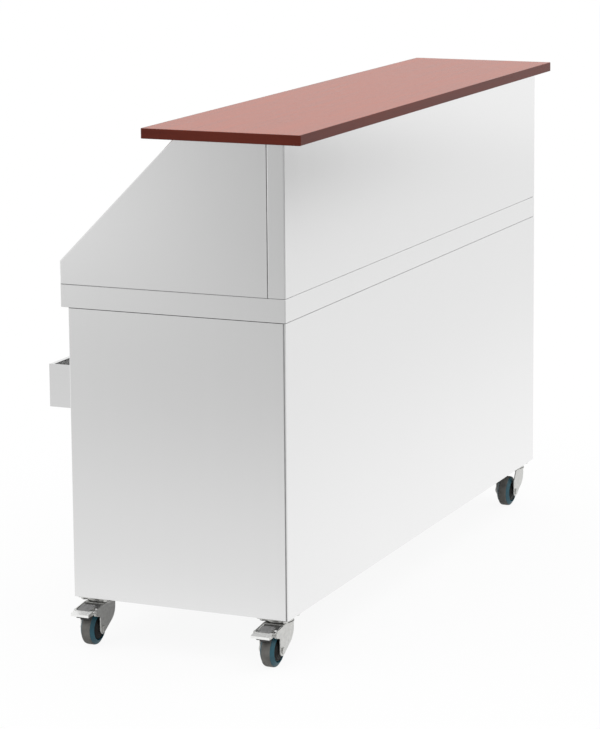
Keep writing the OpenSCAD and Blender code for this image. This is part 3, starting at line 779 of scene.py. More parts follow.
PANEL = BrushedSteel("brushed_stainless", grey(0.78), grey(0.82))
PANEL_LONG = BrushedSteel("brushed_stainless_long", grey(0.78), grey(0.82), grain=Grain.ALONG_X)
INNER = BrushedSteel(
    "inner_stainless", (0.702, 0.702, 0.71175), (0.738, 0.738, 0.74825), 0.36, grain=Grain.ALONG_X
)
TUBES = BrushedSteel("frame_tube_steel", (0.6045, 0.6045, 0.61425), (0.6355, 0.6355, 0.64575), 0.40)
WOOD = BarWood("mahogany_top", (0.175, 0.026, 0.007), (0.270, 0.050, 0.019), 0.30, gloss=0.28)
WOOD_EDGE = BarWood(
    "mahogany_edging", (0.058, 0.009, 0.005), (0.104, 0.017, 0.009), 0.36, gloss=0.12, ends_turn=True
)
ZINC = Plated("bright_zinc", (0.40, 0.40, 0.39), (0.62, 0.62, 0.60), 0.34)
# Pedal tread plate made brighter than zinc as a painted highlight.
TREAD_HIGHLIGHT = Plated("pedal_painted_highlight", (0.80, 0.80, 0.79), (0.93, 0.93, 0.92), 0.24)
# Zinc darkened as painted shade, for the pedal's pad and the leaf spring.
ZINC_IN_SHADE = Plated("zinc_painted_shade", grey(0.22), grey(0.38), 0.45)
BRASS = Plated("valve_brass", (0.36, 0.24, 0.09), (0.60, 0.43, 0.17), 0.30)
RUBBER = Moulded("tread_rubber", (0.074, 0.073, 0.068), (0.165, 0.160, 0.148), 0.62, relief=0.35)
BLUE = Moulded("blue_ring", (0.002, 0.046, 0.068), (0.008, 0.082, 0.112), 0.50)
# Black nylon for the brake shoe and block; in the end panels' joint strip it is painted shade of the gap.
BLACK_AND_GAP_SHADE = Moulded("black_nylon_and_gap_shade", grey(0.012), grey(0.045), 0.5)
# Grey seal rubber for the corner seals; on steel tongues and joint strips it is painted shade of the
# joints' gaps.
SEAL_AND_GAP_SHADE = Moulded("seal_rubber_and_gap_shade", grey(0.20), grey(0.30), 0.7)
# Near-black painted shade for the wheel core's hub and groove.
SHADOW = Moulded("groove_painted_shade", grey(0.004), grey(0.014), 0.7)
# Black plastic of the thread guards, made darker than black nylon: partly real black, partly painted shade.
GUARD_BLACK_SHADE = Moulded("guard_black_and_painted_shade", grey(0.006), grey(0.022), 0.6, gloss=0.18)
LEVER = Moulded("lever_paint", (0.42, 0.020, 0.016), (0.50, 0.060, 0.045), 0.4, relief=0.1)
FOAM = Moulded("bin_foam", (0.72, 0.66, 0.45), (0.80, 0.75, 0.58), 0.9, layers=dusty(700.0))


def dress(
    piece: bpy.types.Object, slot: str, node: str | None, *finishes: Finish, body: str = CABINET
) -> None:
    """Gives a new piece its finishes and its body, and hides the CAD node that it stands for.

    Args:
        piece: the new object.
        slot: not used.
        node: CAD node that it stands for, or None.
        finishes: finishes in the order of the piece's material indices.
        body: CAD body that it moves with.
    """
    for finish in finishes:
        piece.data.materials.append(finish.material())
    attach(piece, body)
    if node:
        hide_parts(node)
    LOG.info("%s rides on %s, %d faces", piece.name, body, len(piece.data.polygons))


def refine(
    node: str, name: str, slot: str, finish: Finish, ease: float, segments: int = 2, body: str = CABINET
) -> None:
    """Makes an eased copy of a CAD node and dresses it in the node's place."""
    dress(eased(node, name, ease, segments), slot, node, finish, body=body)


def paint_node(node: str, finish: Finish) -> None:
    """Gives a CAD node that stays as it is a better material.

    Args:
        node: name of the CAD node.
        finish: its finish.
    """
    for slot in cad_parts[node].material_slots:
        slot.material = finish.material()
    LOG.info("%s keeps its solid, in %s", node, finish.name)


# Sub-assemblies


@dataclass
class BarTop:
    """Wooden bar top: a board with an edging strip round it."""

    corner: float = 0.005
    arris: float = 0.0012
    seam: float = 0.0004

    def build(self) -> None:
        """Carries the edging round the outline, and lays the board in it with a hairline seam."""
        low, high = box_of("bar_top_edging")
        board_low, board_high = box_of("bar_top_board")
        depth = board_low[0] - low[0]
        corners = [(-depth, low[2]), (0, low[2]), (0, high[2]), (-depth, high[2])]
        profile, _ = fillet(corners, [0, self.arris, self.arris, 0], closed=True)
        shell = Shell().grid(moulding(low, high, self.corner, profile), rows=True, cols=True)
        dress(shell.build("bar_top_edge"), "bar_top_edge", "bar_top_edging", WOOD_EDGE)
        upper = board_high[2]
        profile, _ = fillet([(0, board_low[2]), (0, upper), (-2 * self.seam, upper)], self.seam)
        corner = max(self.corner - depth, 3 * self.seam)
        shell = Shell().grid(moulding(board_low, board_high, corner, profile), cols=True, cap_rows=True)
        dress(shell.build("bar_top"), "bar_top_wood", "bar_top_board", WOOD)
        paint_node("bar_top_screws", ZINC)


@dataclass
class SheetWork:
    """Sizes that all folded sheets share; a dark seal strip in a joint fills a share of the sheet's
    thickness, as painted shade of the joint's gap.
    """

    thick: float = 0.0015
    fold: float = 0.0012
    seal_shade_share: float = 0.95
    seal_shade_play: float = 0.0001


@dataclass
class Riser(SheetWork):
    """Upright box that carries the bar top, with a wing at each end."""

    depth: float = 0.040
    back: float = 0.040
    flange: float = 0.020
    tongue: float = 0.003
    wing_rim: float = 0.020
    wing_lip: float = 0.050
    wing_foot: float = 0.0225
    foot: float = 0.020
    close: float = 0.0005
    seal_shade_in: float = 0.0003

    def guest_panel(self) -> None:
        """One sheet folded round both ends of the riser, with a flange under the bar top."""
        (x0, y0, z0), (x1, _, z1) = box_of("riser_guest_panel")
        t, inner = self.thick, self.thick + self.fold
        y1, base = y0 + self.depth, z0 + self.tongue
        left, right = x0 + self.back, x1 - self.back
        plan = [(left, y1), (x0, y1), (x0, y0), (x1, y0), (x1, y1), (right, y1)]
        shell = Shell().fold(plan, t, self.fold, Plane.PLAN, z0 + t - self.close, z1)
        shell.strip((x0 + inner, y0 + inner, z1 - t), (x1 - inner, y0 + self.flange, z1))
        # Strips along the foot of the sheet, tinted as seal: painted shade of the joint with the work top.
        shell.strip((left, y0 + t, z0), (right, y0 + 2 * t, base), 1)
        for x in (x0 + t, x1 - 2 * t):
            shell.strip((x, y0 + 2 * t, z0), (x + t, y1 - t, base), 1)
        dress(shell.build("riser_front"), "brushed_panel", "riser_guest_panel", PANEL, SEAL_AND_GAP_SHADE)

    def service_panel(self) -> None:
        """Back sheet of the riser, with a foot folded out on the work top."""
        low, high = box_of("riser_service_panel")
        side = [(low[1], high[2]), (low[1], low[2]), (low[1] + self.foot, low[2])]
        shell = Shell().fold(side, self.thick, self.fold, Plane.SIDE, low[0], high[0])
        dress(shell.build("riser_back"), "inner_panel", "riser_service_panel", INNER)

    def wing(self, node: str, inward: int) -> None:
        """End wing: a flat cheek whose upright and sloping edges fold into a rim.

        The rim's profile runs from the flat cheek over a quarter circle to the rim's edge and
        back inside. Each profile point lies at an inset from the outline, and a corner of the
        outline moves in along its mitre by that inset.

        Args:
            node: CAD node that the wing stands for.
            inward: 1 where the inside lies at higher X, -1 where it lies at lower X.
        """
        low, high = box_of(node)
        t = self.thick
        face = low[0] if inward > 0 else high[0]
        y0, y1 = low[1] + t - self.close, high[1]
        z0, z1 = low[2] + t - self.close, high[2]
        knee = low[2] + self.wing_lip
        outline = np.array([(y1, z0), (y1, knee), (y1 - (z1 - knee), z1)])
        mitre = np.array([(-1, 0), (-1, -math.tan(math.pi / 8)), (-math.sqrt(2), 0)])
        outer = self.fold + t
        angle = np.linspace(0, math.pi / 2, 6)
        arc = np.stack([np.cos(angle), np.sin(angle)], 1)
        rim = [(self.wing_rim, 0), (self.wing_rim, t)]
        profile = np.concatenate([outer - outer * arc, rim, (outer - self.fold * arc)[::-1]])
        flat = outline[None] + profile[:, 1][:, None, None] * mitre[None]
        shell = Shell().grid(Plane.SIDE.lift(flat, face + inward * profile[:, :1]), cap_cols=True)
        cheek = np.concatenate([[(y0, z0)], outline + outer * mitre, [(y0, z1)]])
        sides = Plane.SIDE.carry((cheek, face), (cheek, face + inward * t))
        for edge in ([3, 4], [0, 1], [4, 0]):
            shell.grid(sides[:, edge])
        for side in sides:
            shell.face(side)
        near, far = sorted((face + inward * t, face + inward * self.wing_rim))
        # Tongue and joint strips, tinted as seal: painted shade of the joints' gaps.
        shell.strip((near, low[1], z0), (far, low[1] + self.tongue, z1), 1)
        shell.strip((near, low[1] + self.wing_foot, low[2]), (far, y1 - t, low[2] + self.tongue), 1)
        near, far = sorted((face + inward * self.seal_shade_in, face + inward * t * self.seal_shade_share))
        shell.strip((near, low[1] + self.seal_shade_play, low[2]), (far, y1 - t, z0), 1)
        shell.strip((near, low[1] + self.seal_shade_play, z0), (far, y0, z1), 1)
        dress(shell.build(node + "_sheet"), "brushed_panel", node, PANEL, SEAL_AND_GAP_SHADE)

    def build(self) -> None:
        """Makes the riser's sheets and wings."""
        self.guest_panel()
        self.service_panel()
        self.wing("left_wing", 1)
        self.wing("right_wing", -1)
        paint_node("riser_stiffeners", TUBES)


@dataclass
class WorkTop(SheetWork):
    """Work top: a sheet with an opening for the bin, folded down all round."""

    bend: float = 0.002
    corner: float = 0.0023
    hole_corner: float = 0.0009
    hole_in: float = 0.0117

    def build(self) -> None:
        """Carries the folded edge round the outline and joins it to the bin's opening."""
        low, high = box_of("work_top")
        bin_low, bin_high = box_of("ice_bin_liner")
        z0, z1, t = low[2], high[2], self.thick
        reach = (self.bend + self.corner) / 2
        over, _ = fillet([(0, z0), (0, z1), (-reach, z1)], self.bend)
        under, _ = fillet([(-reach, z1 - t), (-t, z1 - t), (-t, z0)], self.bend - t)
        hole = loop(bin_low[:2] + self.hole_in, bin_high[:2] - self.hole_in, self.hole_corner)
        outer, inner = (moulding(low, high, self.corner, line) for line in (over, under))
        grid = np.concatenate([outer, Plane.PLAN.carry((hole, z1), (hole, z1 - t)), inner])
        piece = Shell().grid(grid, rows=True, cols=True).build("work_top_sheet")
        dress(piece, "brushed_panel", "work_top", PANEL)


@dataclass
class Cabinet(SheetWork):
    """Lower cabinet: its panels, deck, shelf and tube frame."""

    hem: float = 0.012
    hem_round: float = 0.00147
    fold_w: float = 0.0265
    tongue_drop: float = 0.012
    tongue_rise: float = 0.0255
    return_w: float = 0.005
    joint: float = 0.0015
    seal_shade_in: float = 0.0009
    front_rise: float = 0.0004
    seal_in: float = 0.0005
    seal_w: float = 0.012
    tube_wall: float = 0.002
    tube_corner: float = 0.003
    post: float = 0.025
    cleat: float = 0.020

    def guest_panel(self) -> None:
        """Front sheet with a closed hem at each end, and a tongue behind its upper edge."""
        (x0, y0, z0), (x1, _, top) = box_of("guest_panel")
        t, tongue_z = self.thick, top - self.tongue_rise
        middle, back = y0 + t, y0 + 2 * t
        left, right = x0 + self.hem, x1 - self.hem
        ends = [(left, back), (x0, back), (x0, y0), (x1, y0), (x1, back), (right, back)]
        plan = [*ends, (right, middle), (left, middle)]
        line, _ = fillet(plan, [0, *[self.hem_round] * 4, 0, 0, 0], closed=True)
        shell = Shell().prism(line, Plane.PLAN, z0, tongue_z + self.tongue_drop + self.front_rise)
        inset = self.fold_w + self.joint
        # Tongue behind the upper edge, tinted as seal: painted shade of the joint's gap.
        shell.strip((x0 + inset, middle, tongue_z), (x1 - inset, back, top), 1)
        shell.strip((x0 + inset, middle, z0), (x1 - inset, middle + self.return_w, z0 + t))
        dress(shell.build("guest_front"), "brushed_panel", "guest_panel", PANEL, SEAL_AND_GAP_SHADE)

    def end_panel(self, node: str, inward: int) -> None:
        """End sheet folded in at both uprights, with a tongue behind its upper edge.

        Args:
            node: CAD node that the sheet stands for.
            inward: 1 where the inside lies at higher X, -1 where it lies at lower X.
        """
        low, high = box_of(node)
        face, back = (low[0], high[0]) if inward > 0 else (high[0], low[0])
        t, tongue_z = self.thick, high[2] - self.tongue_rise
        z1 = tongue_z + self.tongue_drop
        plan = [(back, low[1]), (face, low[1]), (face, high[1]), (back, high[1])]
        shell = Shell().fold(plan[::-inward], t, self.fold, Plane.PLAN, low[2], z1)
        inset = t + self.post
        near, far = sorted((face + inward * t, face + inward * 2 * t))
        # Tongue behind the upper edge, tinted as seal: painted shade of the joint's gap.
        shell.strip((near, low[1] + inset, tongue_z), (far, high[1] - inset, high[2]), 1)
        # Black strip in the joint under the work top: painted shade of the gap.
        near, far = sorted((face + inward * self.seal_shade_in, face + inward * t * self.seal_shade_share))
        ceiling = box_of("work_top")[0][2] - self.seal_shade_play
        shell.strip((near, low[1] + t, z1), (far, high[1] - t, ceiling), 2)
        dress(shell.build(node + "_sheet"), "brushed_panel", node, PANEL, SEAL_AND_GAP_SHADE, BLACK_AND_GAP_SHADE)

    def deck(self) -> None:
        """Base deck: a sheet folded down all round."""
        low, high = box_of("base_deck")
        z0, z1, t = low[2], high[2], self.thick
        bend = self.fold + t
        reach = 2 * bend
        corner = 2.5 * bend
        over, _ = fillet([(0, z0), (0, z1), (-reach, z1)], bend)
        under, _ = fillet([(-reach, z1 - t), (-t, z1 - t), (-t, z0)], self.fold)
        rows = np.concatenate([moulding(low, high, corner, line) for line in (under, over)])
        shell = Shell().grid(rows, cols=True, cap_rows=True)
        dress(shell.build("deck_sheet"), "inner_panel", "base_deck", INNER)

    def shelf(self) -> None:
        """Shelf with its long edges folded down, and cleats under its ends."""
        (x0, y0, z0), (x1, y1, z1) = box_of("mid_shelf")
        left, right = x0 + self.cleat, x1 - self.cleat
        side = [(y1, z0), (y1, z1), (y0, z1), (y0, z0)]
        shell = Shell().fold(side, self.thick, self.fold, Plane.SIDE, left, right)
        for near, far in ((x0, left), (right, x1)):
            shell.strip((near, y0, z1 - self.thick), (far, y1, z1))
        dress(shell.build("shelf_sheet"), "inner_panel", "mid_shelf", INNER)
        refine("shelf_cleats", "shelf_angles", "frame_steel", TUBES, ease=0.0004)

    def tubes(self) -> None:
        """Corner posts and the cross bar behind the speed rail, as tubes with round corners."""
        low, high = box_of("corner_posts")
        shell = Shell()
        for x in (low[0], high[0] - self.post):
            for y in (low[1], high[1] - self.post):
                far = (x + self.post, y + self.post, high[2])
                shell.tube((x, y, low[2]), far, Plane.PLAN, self.tube_wall, self.tube_corner)
        dress(shell.build("post_tubes"), "frame_steel", "corner_posts", TUBES)
        low, high = box_of("cross_bar")
        shell = Shell().tube(low, high, Plane.SIDE, self.tube_wall, self.tube_corner)
        dress(shell.build("cross_tube"), "frame_steel", "cross_bar", TUBES)

    def seals(self) -> None:
        """Flat seals that fill the corner seams almost to the panels' faces."""
        low, high = box_of("panel_seals")
        face = box_of("left_end_panel")[0][0] + self.seal_in
        shell = Shell()
        for x0, x1 in ((face, low[0] + self.seal_w), (high[0] - self.seal_w, -face)):
            shell.strip((x0, low[1], low[2]), (x1, high[1], high[2]))
        dress(shell.build("corner_seals"), "black_rubber", "panel_seals", SEAL_AND_GAP_SHADE)

    def build(self) -> None:
        """Makes the lower cabinet."""
        self.guest_panel()
        self.end_panel("left_end_panel", 1)
        self.end_panel("right_end_panel", -1)
        self.deck()
        self.shelf()
        self.tubes()
        self.seals()
        refine("base_channels", "caster_channels", "frame_steel", TUBES, ease=0.0008)


@dataclass
class SpeedRail(SheetWork):
    """Bottle trough on the operator side."""

    lip: float = 0.012

    def build(self) -> None:
        """Folds the trough along its length and welds a plate on each end."""
        (x0, y0, z0), (x1, y1, z1) = box_of("speed_rail")
        t = self.thick
        side = [(y0, z1), (y0, z0), (y1, z0), (y1, z1), (y1 - self.lip, z1)]
        shell = Shell().fold(side, t, self.fold, Plane.SIDE, x0 + t, x1 - t)
        plate = loop((y0, z0), (y1, z1), self.fold)
        for x in (x0, x1 - t):
            shell.prism(plate, Plane.SIDE, x, x + t)
        dress(shell.build("speed_rail_trough"), "brushed_panel", "speed_rail", PANEL)
        refine("rail_screws", "rail_screw_heads", "zinc_steel", ZINC, ease=0.0008, segments=3)


@dataclass
class IceBin(SheetWork):
    """Insulated bin under the work top, with sliding lids and a drain."""

    rim: float = 0.012
    mouth: float = 0.004
    floor_bend: float = 0.012
    drain_hole: float = 0.014

    def liner(self) -> None:
        """Tub with a flange, and a floor that joins the tub's bend to the drain's round hole.

        One profile runs over the mouth, down the wall and over the floor's bend, the other back
        outside. Each point of the hole lies straight between the drain's middle and the bend.
        """
        low, high = box_of("ice_bin_liner")
        z0, z1, t, rim, bend = low[2], high[2], self.thick, self.rim, self.floor_bend
        wall = -rim - t
        inside = [(0, z1 - t), (0, z1), (wall, z1), (wall, z0 + t), (wall - 2 * bend, z0 + t)]
        near, _ = fillet(inside, [0, 0, self.mouth, bend, 0])
        outside = [(-rim - 2 * bend, z0), (-rim, z0), (-rim, z1 - t), (0, z1 - t)]
        far, _ = fillet(outside, [0, bend + t, self.mouth - t, 0])
        corner = rim + 2 * (bend + t)
        inner, outer = (moulding(low, high, corner, line) for line in (near, far))
        shell = Shell().grid(inner, cols=True).grid(outer, cols=True)
        drain_low, drain_high = box_of("drain_fitting")
        middle = ((drain_low + drain_high) / 2)[:2]
        ray = outer[0, :, :2] - middle
        hole = middle + self.drain_hole * ray / np.linalg.norm(ray, axis=1, keepdims=True)
        edge = Plane.PLAN.carry((hole, z0 + t), (hole, z0))
        shell.grid(np.concatenate([inner[-1:], edge, outer[:1]]), cols=True)
        dress(shell.build("bin_tub"), "inner_panel", "ice_bin_liner", INNER)

    def fittings(self) -> None:
        """Lids, tracks, false bottom, drain, valve and jacket with eased edges."""
        for lid in ("left_lid", "right_lid"):
            refine(lid, lid + "_sheet", "inner_panel", PANEL_LONG, ease=0.0004, body=lid)
        refine("lid_frame", "lid_tracks", "inner_panel", INNER, ease=0.0004)
        refine("ice_grid", "false_bottom", "inner_panel", INNER, ease=0.0004)
        refine("drain_fitting", "drain_tube", "brass", BRASS, ease=0.0008)
        refine("drain_valve_body", "valve_body", "brass", BRASS, ease=0.0010)
        lever = ("drain_valve_lever", "valve_lever", "red_lever", LEVER)
        refine(*lever, ease=0.0012, segments=3, body="drain_valve")
        refine("ice_bin_jacket", "bin_jacket", "frame_steel", TUBES, ease=0.0005)

    def build(self) -> None:
        """Makes the bin."""
        self.liner()
        self.fittings()
        paint_node("drain_valve_plug", BRASS)
        paint_node("ice_bin_insulation", FOAM)


@dataclass
class CasterHeads:
    """Fixed parts of all four casters."""

    plate_ease: float = 0.0008
    bolt_ease: float = 0.0007

    def build(self) -> None:
        """Makes the plates, bolts, kingpins and ball rings."""
        refine("caster_plates", "caster_tops", "zinc_steel", ZINC, ease=self.plate_ease, segments=3)
        refine("caster_bolts", "caster_bolt_set", "zinc_steel", ZINC, ease=self.bolt_ease)
        paint_node("kingpins", ZINC)
        paint_node("swivel_bearings", ZINC)


@dataclass
class CasterPart:
    """Part of one swivel caster, which trails to lower X.

    Flat points are X from the swivel axis and Z from the floor. A half is half a width along Y.
    """

    corner: str
    trail: float = 0.040
    bore: float = 0.00505

    def tag(self, part: str) -> str:
        """Name of one of this caster's parts or bodies."""
        return f"{self.corner}_{part}"

    def hub(self) -> Array:
        """Middle of the wheel."""
        low, high = box_of(self.tag("tyre"))
        return (low + high) / 2

    def axis(self) -> Array:
        """Foot of the swivel axis on the floor."""
        x, y, _ = self.hub()
        return np.array([x + self.trail, y, 0])

    def across(self, half: float) -> tuple[float, float]:
        """Two places along Y, each half a width from the swivel axis."""
        y = self.axis()[1]
        return y - half, y + half

    def flat(self, points: Sequence) -> Array:
        """Flat points of this caster, moved from its swivel axis to the frame's X and Z."""
        return np.asarray(points) + [self.axis()[0], 0]


@dataclass
class Fork(CasterPart):
    """Pressed fork and its axle bolt; on a braked caster its legs reach out to the pedal."""

    leg_in: float = 0.0220
    leg_out: float = 0.0250
    leg_top: float = 0.0902
    leg_ease: float = 0.0008
    crown: Point = (0.0887, 0.0917)
    crown_r: float = 0.031
    crown_hole: float = 0.0063
    crown_edge: float = 0.00208
    crown_front: float = -0.036
    crown_back: float = -0.014
    knee: Point = (0.018, 0.0559)
    knee_r: float = 0.034
    toe: Point = (-0.052, 0.0171)
    toe_r: float = 0.012
    shoulder: Point = (-0.052, 0.0662)
    shoulder_r: float = 0.006
    arm_tip: Point = (-0.1085, 0.0828)
    arm_r: float = 0.007
    pivot: Point = (-0.072, 0.0792)
    pivot_hole: float = 0.0043
    axle_ease: float = 0.0007

    def legs(self, shell: Shell) -> None:
        """Two legs cut to one smooth outline, with holes for the axle and the pedal's pivot.

        Args:
            shell: surfaces that the legs are added to.
        """
        corners = [(self.knee[0], self.leg_top), (self.crown_front, self.leg_top)]
        radii = [self.leg_ease, self.leg_ease]
        holes = [ring(self.hub()[[0, 2]], self.bore)]
        if self.corner in BRAKED:
            corners.append(self.arm_tip)
            radii.append(self.arm_r)
            holes.append(ring(self.flat(self.pivot), self.pivot_hole))
        corners += [self.shoulder, self.toe, self.knee]
        radii += [self.shoulder_r, self.toe_r, self.knee_r]
        outline = fillet(self.flat(corners), radii, closed=True, steps=12)
        thick = self.leg_out - self.leg_in
        for near in (self.across(self.leg_out)[0], self.across(self.leg_in)[1]):
            shell.plate([outline, *holes], Plane.FRONT, near, near + thick, self.leg_ease)

    def build(self) -> None:
        """Sets the legs under a crown with a round race, and adds the axle bolt."""
        shell = Shell()
        self.legs(shell)
        ease = self.leg_ease
        (y0, y1), (z0, z1) = self.across(self.leg_out), self.crown
        section = [(y0, z0), (y1, z0), (y1, z1), (y0, z1)]
        slab = fillet(section, [ease, ease, self.crown_edge, self.crown_edge], closed=True)
        x0, x1 = self.flat([(self.crown_front, 0), (self.crown_back, 0)])[:, 0]
        shell.plate([slab], Plane.SIDE, x0, x1, ease)
        race = [(self.crown_hole, z0), (self.crown_r, z0), (self.crown_r, z1), (self.crown_hole, z1)]
        line, _ = fillet(race, ease / 2, closed=True)
        shell.grid(turned(line, self.axis(), 2), rows=True, cols=True)
        body = self.tag("swivel")
        dress(shell.build(self.tag("yoke")), "zinc_steel", self.tag("fork"), ZINC, body=body)
        axle = (self.tag("axle"), self.tag("axle_bolt"))
        refine(*axle, "zinc_steel", ZINC, ease=self.axle_ease, body=body)


@dataclass
class Wheel(CasterPart):
    """Wheel: a tyre, a core with a blue ring and two thread guards, each turned round the axle."""

    tread_half: float = 0.010
    tread_drop: float = 0.0008
    tread_slope: float = 0.003
    tread_radii: tuple[float, ...] = (0, 0.0006, 0.004, 0.004, 0.0006, 0)
    tyre_in: float = 0.027
    rim_in: float = 0.0245
    rim_half: float = 0.0165
    groove_half: float = 0.0075
    groove_wall: float = 0.0016
    hub_r: float = 0.009
    hub_half: float = 0.0217
    web_half: float = 0.004
    web_slope: float = 0.002
    ring_out: float = 0.0371
    ring_side: float = 0.0274
    ring_lip: float = 0.0006
    core_radii: tuple[float, ...] = (
        0.0004, 0.0006, 0.0010, 0.0006, 0.0006, 0.0006, 0.0002, 0.0010, 0.0004, 0,
    )
    core_steps: int = 4
    guard_ribs: int = 3
    guard_wave: float = 0.0006
    guard_thick: float = 0.0014
    guard_gap: float = 0.0003
    guard_rows: int = 40

    def tread(self) -> None:
        """Tyre: a profile with sloping shoulders."""
        low, high = box_of(self.tag("tyre"))
        radius, half = (high[2] - low[2]) / 2, self.tread_half
        edge, flat = radius - self.tread_drop, half - self.tread_slope
        side = [(self.tyre_in, -half), (edge, -half), (radius, -flat)]
        corners = side + [(r, -y) for r, y in reversed(side)]
        line, _ = fillet(corners, self.tread_radii, closed=True)
        shell = Shell().grid(turned(line, self.hub(), 1), rows=True, cols=True)
        dress(shell.build(self.tag("tread")), "grey_tyre", self.tag("tyre"), RUBBER, body=self.tag("wheel"))

    def core(self) -> None:
        """Core: a steep blue ring beside the tyre, and a deep groove inside it, which with the hub is
        painted near-black as shade.
        """
        half, ring_r = self.tread_half, self.ring_side
        lip = (ring_r - self.ring_lip, self.rim_half)
        side = [
            (self.bore, self.hub_half), (self.hub_r, self.hub_half), (self.hub_r, self.web_half),
            (self.rim_in - self.web_slope, self.web_half), (self.rim_in, self.groove_half),
            (ring_r - self.groove_wall, self.groove_half), lip,
            (ring_r, self.rim_half), (self.ring_out, half), (self.tyre_in, half),
        ]
        corners = side + [(r, -y) for r, y in reversed(side)]
        radii = self.core_radii + self.core_radii[::-1]
        line, _ = fillet(corners, radii, closed=True, steps=self.core_steps)
        corner = np.arange(len(line)) // (self.core_steps + 1)
        first_blue = side.index(lip)
        blue = (corner >= first_blue) & (corner < len(corners) - first_blue)
        grid = turned(line, self.hub(), 1)
        # Everything inside the blue ring is painted near-black as shade.
        shell = Shell().grid(grid, rows=True, cols=True, tint=np.where(blue, 0, 1))
        piece = shell.build(self.tag("core"))
        dress(piece, "blue_core", self.tag("hub"), BLUE, SHADOW, body=self.tag("wheel"))

    def guards(self) -> None:
        """Thread guards: dished discs with rounded ribs, a cosine wave on the outer side of the dish."""
        low, high = box_of(self.tag("guards"))
        _, half, radius = (high - low) / 2
        start = self.hub_r + self.guard_gap
        share = np.linspace(0, 1, self.guard_rows)
        r = start + share * (radius - start)
        dish = half - self.guard_wave - share * (half - self.rim_half + self.guard_thick)
        wave = self.guard_wave * np.cos(2 * math.pi * self.guard_ribs * share)
        inner = np.stack([r, dish - self.guard_thick], 1)[::-1]
        line = np.concatenate([np.stack([r, dish + wave], 1), inner])
        shell = Shell()
        for sign in (1, -1):
            shell.grid(turned(line * (1, sign), self.hub(), 1), rows=True, cols=True)
        piece = shell.build(self.tag("discs"))
        dress(piece, "black_plastic", self.tag("guards"), GUARD_BLACK_SHADE, body=self.tag("wheel"))

    def build(self) -> None:
        """Makes the wheel."""
        self.tread()
        self.core()
        self.guards()


@dataclass
class Brake(CasterPart):
    """Foot brake: a pedal with a ribbed plate and a black block, its shoe and its leaf spring."""

    pedal_ease: float = 0.0008
    shoe_ease: float = 0.0006
    side_half: float = 0.0212
    heel: Point = (-0.0555, 0.0917)
    bend: Point = (-0.0840, 0.0864)
    pad_half: float = 0.0147
    pad_thick: float = 0.0008
    ribs: int = 6
    rib_span: Point = (0.1, 0.9)
    rib_rise: float = 0.0007
    rib_r: float = 0.0011
    block_half: float = 0.0145
    block_ease: float = 0.0006
    block: tuple[Point, ...] = ((-0.090, 0.0705), (-0.079, 0.0690), (-0.079, 0.0842), (-0.090, 0.0822))
    block_radii: tuple[float, ...] = (0.0015, 0.0015, 0.0008, 0.0008)
    leaf: tuple[Point, ...] = ((-0.030, 0.0886), (-0.038, 0.0886), (-0.057, 0.0860))
    leaf_half: float = 0.0195
    leaf_thick: float = 0.0008
    leaf_fold: float = 0.004

    def pedal(self) -> None:
        """Pedal, whose tread gets a brighter plate than its zinc turned-down sides as a painted highlight,
        and its shoe.
        """
        body = self.tag("brake")
        piece = eased(self.tag("pedal"), self.tag("treadle"), self.pedal_ease, segments=3)
        centres = np.empty(len(piece.data.polygons) * 3)
        piece.data.polygons.foreach_get("center", centres)
        # The sides stay zinc; the tread's brighter plate is a painted highlight.
        outside = np.abs(centres[1::3] - self.axis()[1]) > self.side_half
        piece.data.polygons.foreach_set("material_index", outside.astype(np.int32))
        dress(piece, "zinc_steel", self.tag("pedal"), TREAD_HIGHLIGHT, ZINC, body=body)
        shoe = (self.tag("shoe"), self.tag("brake_pad"))
        refine(*shoe, "black_plastic", BLACK_AND_GAP_SHADE, ease=self.shoe_ease, body=body)

    def pad(self) -> None:
        """Ribbed plate on the pedal's heel, darkened as painted shade: round bars across a thin sheet."""
        low, high = self.across(self.pad_half)
        heel, bend = self.flat([self.heel, self.bend])
        run = bend - heel
        up = np.array([run[1], -run[0]]) / np.linalg.norm(run)
        shell = Shell().fold([heel, bend], -self.pad_thick, 0, Plane.FRONT, low, high)
        for share in np.linspace(*self.rib_span, self.ribs):
            bar, _ = ring(heel + run * share + up * self.rib_rise, self.rib_r, steps=16)
            shell.prism(bar, Plane.FRONT, low, high)
        dress(shell.build(self.tag("pedal_pad")), "zinc_steel", None, ZINC_IN_SHADE, body=self.tag("brake"))

    def build(self) -> None:
        """Makes the pedal, the block under its tread and the leaf spring behind it."""
        self.pedal()
        self.pad()
        outline = fillet(self.flat(self.block), self.block_radii, closed=True)
        low, high = self.across(self.block_half)
        shell = Shell().plate([outline], Plane.FRONT, low, high, self.block_ease)
        dress(shell.build(self.tag("block")), "black_plastic", None, BLACK_AND_GAP_SHADE, body=self.tag("brake"))
        # Leaf spring, darkened as painted shade.
        low, high = self.across(self.leaf_half)
        line = self.flat(self.leaf)
        shell = Shell().fold(line, self.leaf_thick, self.leaf_fold, Plane.FRONT, low, high)
        dress(shell.build(self.tag("leaf")), "zinc_steel", None, ZINC_IN_SHADE, body=self.tag("swivel"))


# Studio


@dataclass(frozen=True)
class Step:
    """Soft step in the floor's brightness: its edge, its width and how much it adds."""

    edge: float
    width: float
    weight: float = 1.0

    def over(self, value: Wire) -> Wire:
        """The step as the value passes its edge."""
        return value.above(self.edge, self.width) * self.weight


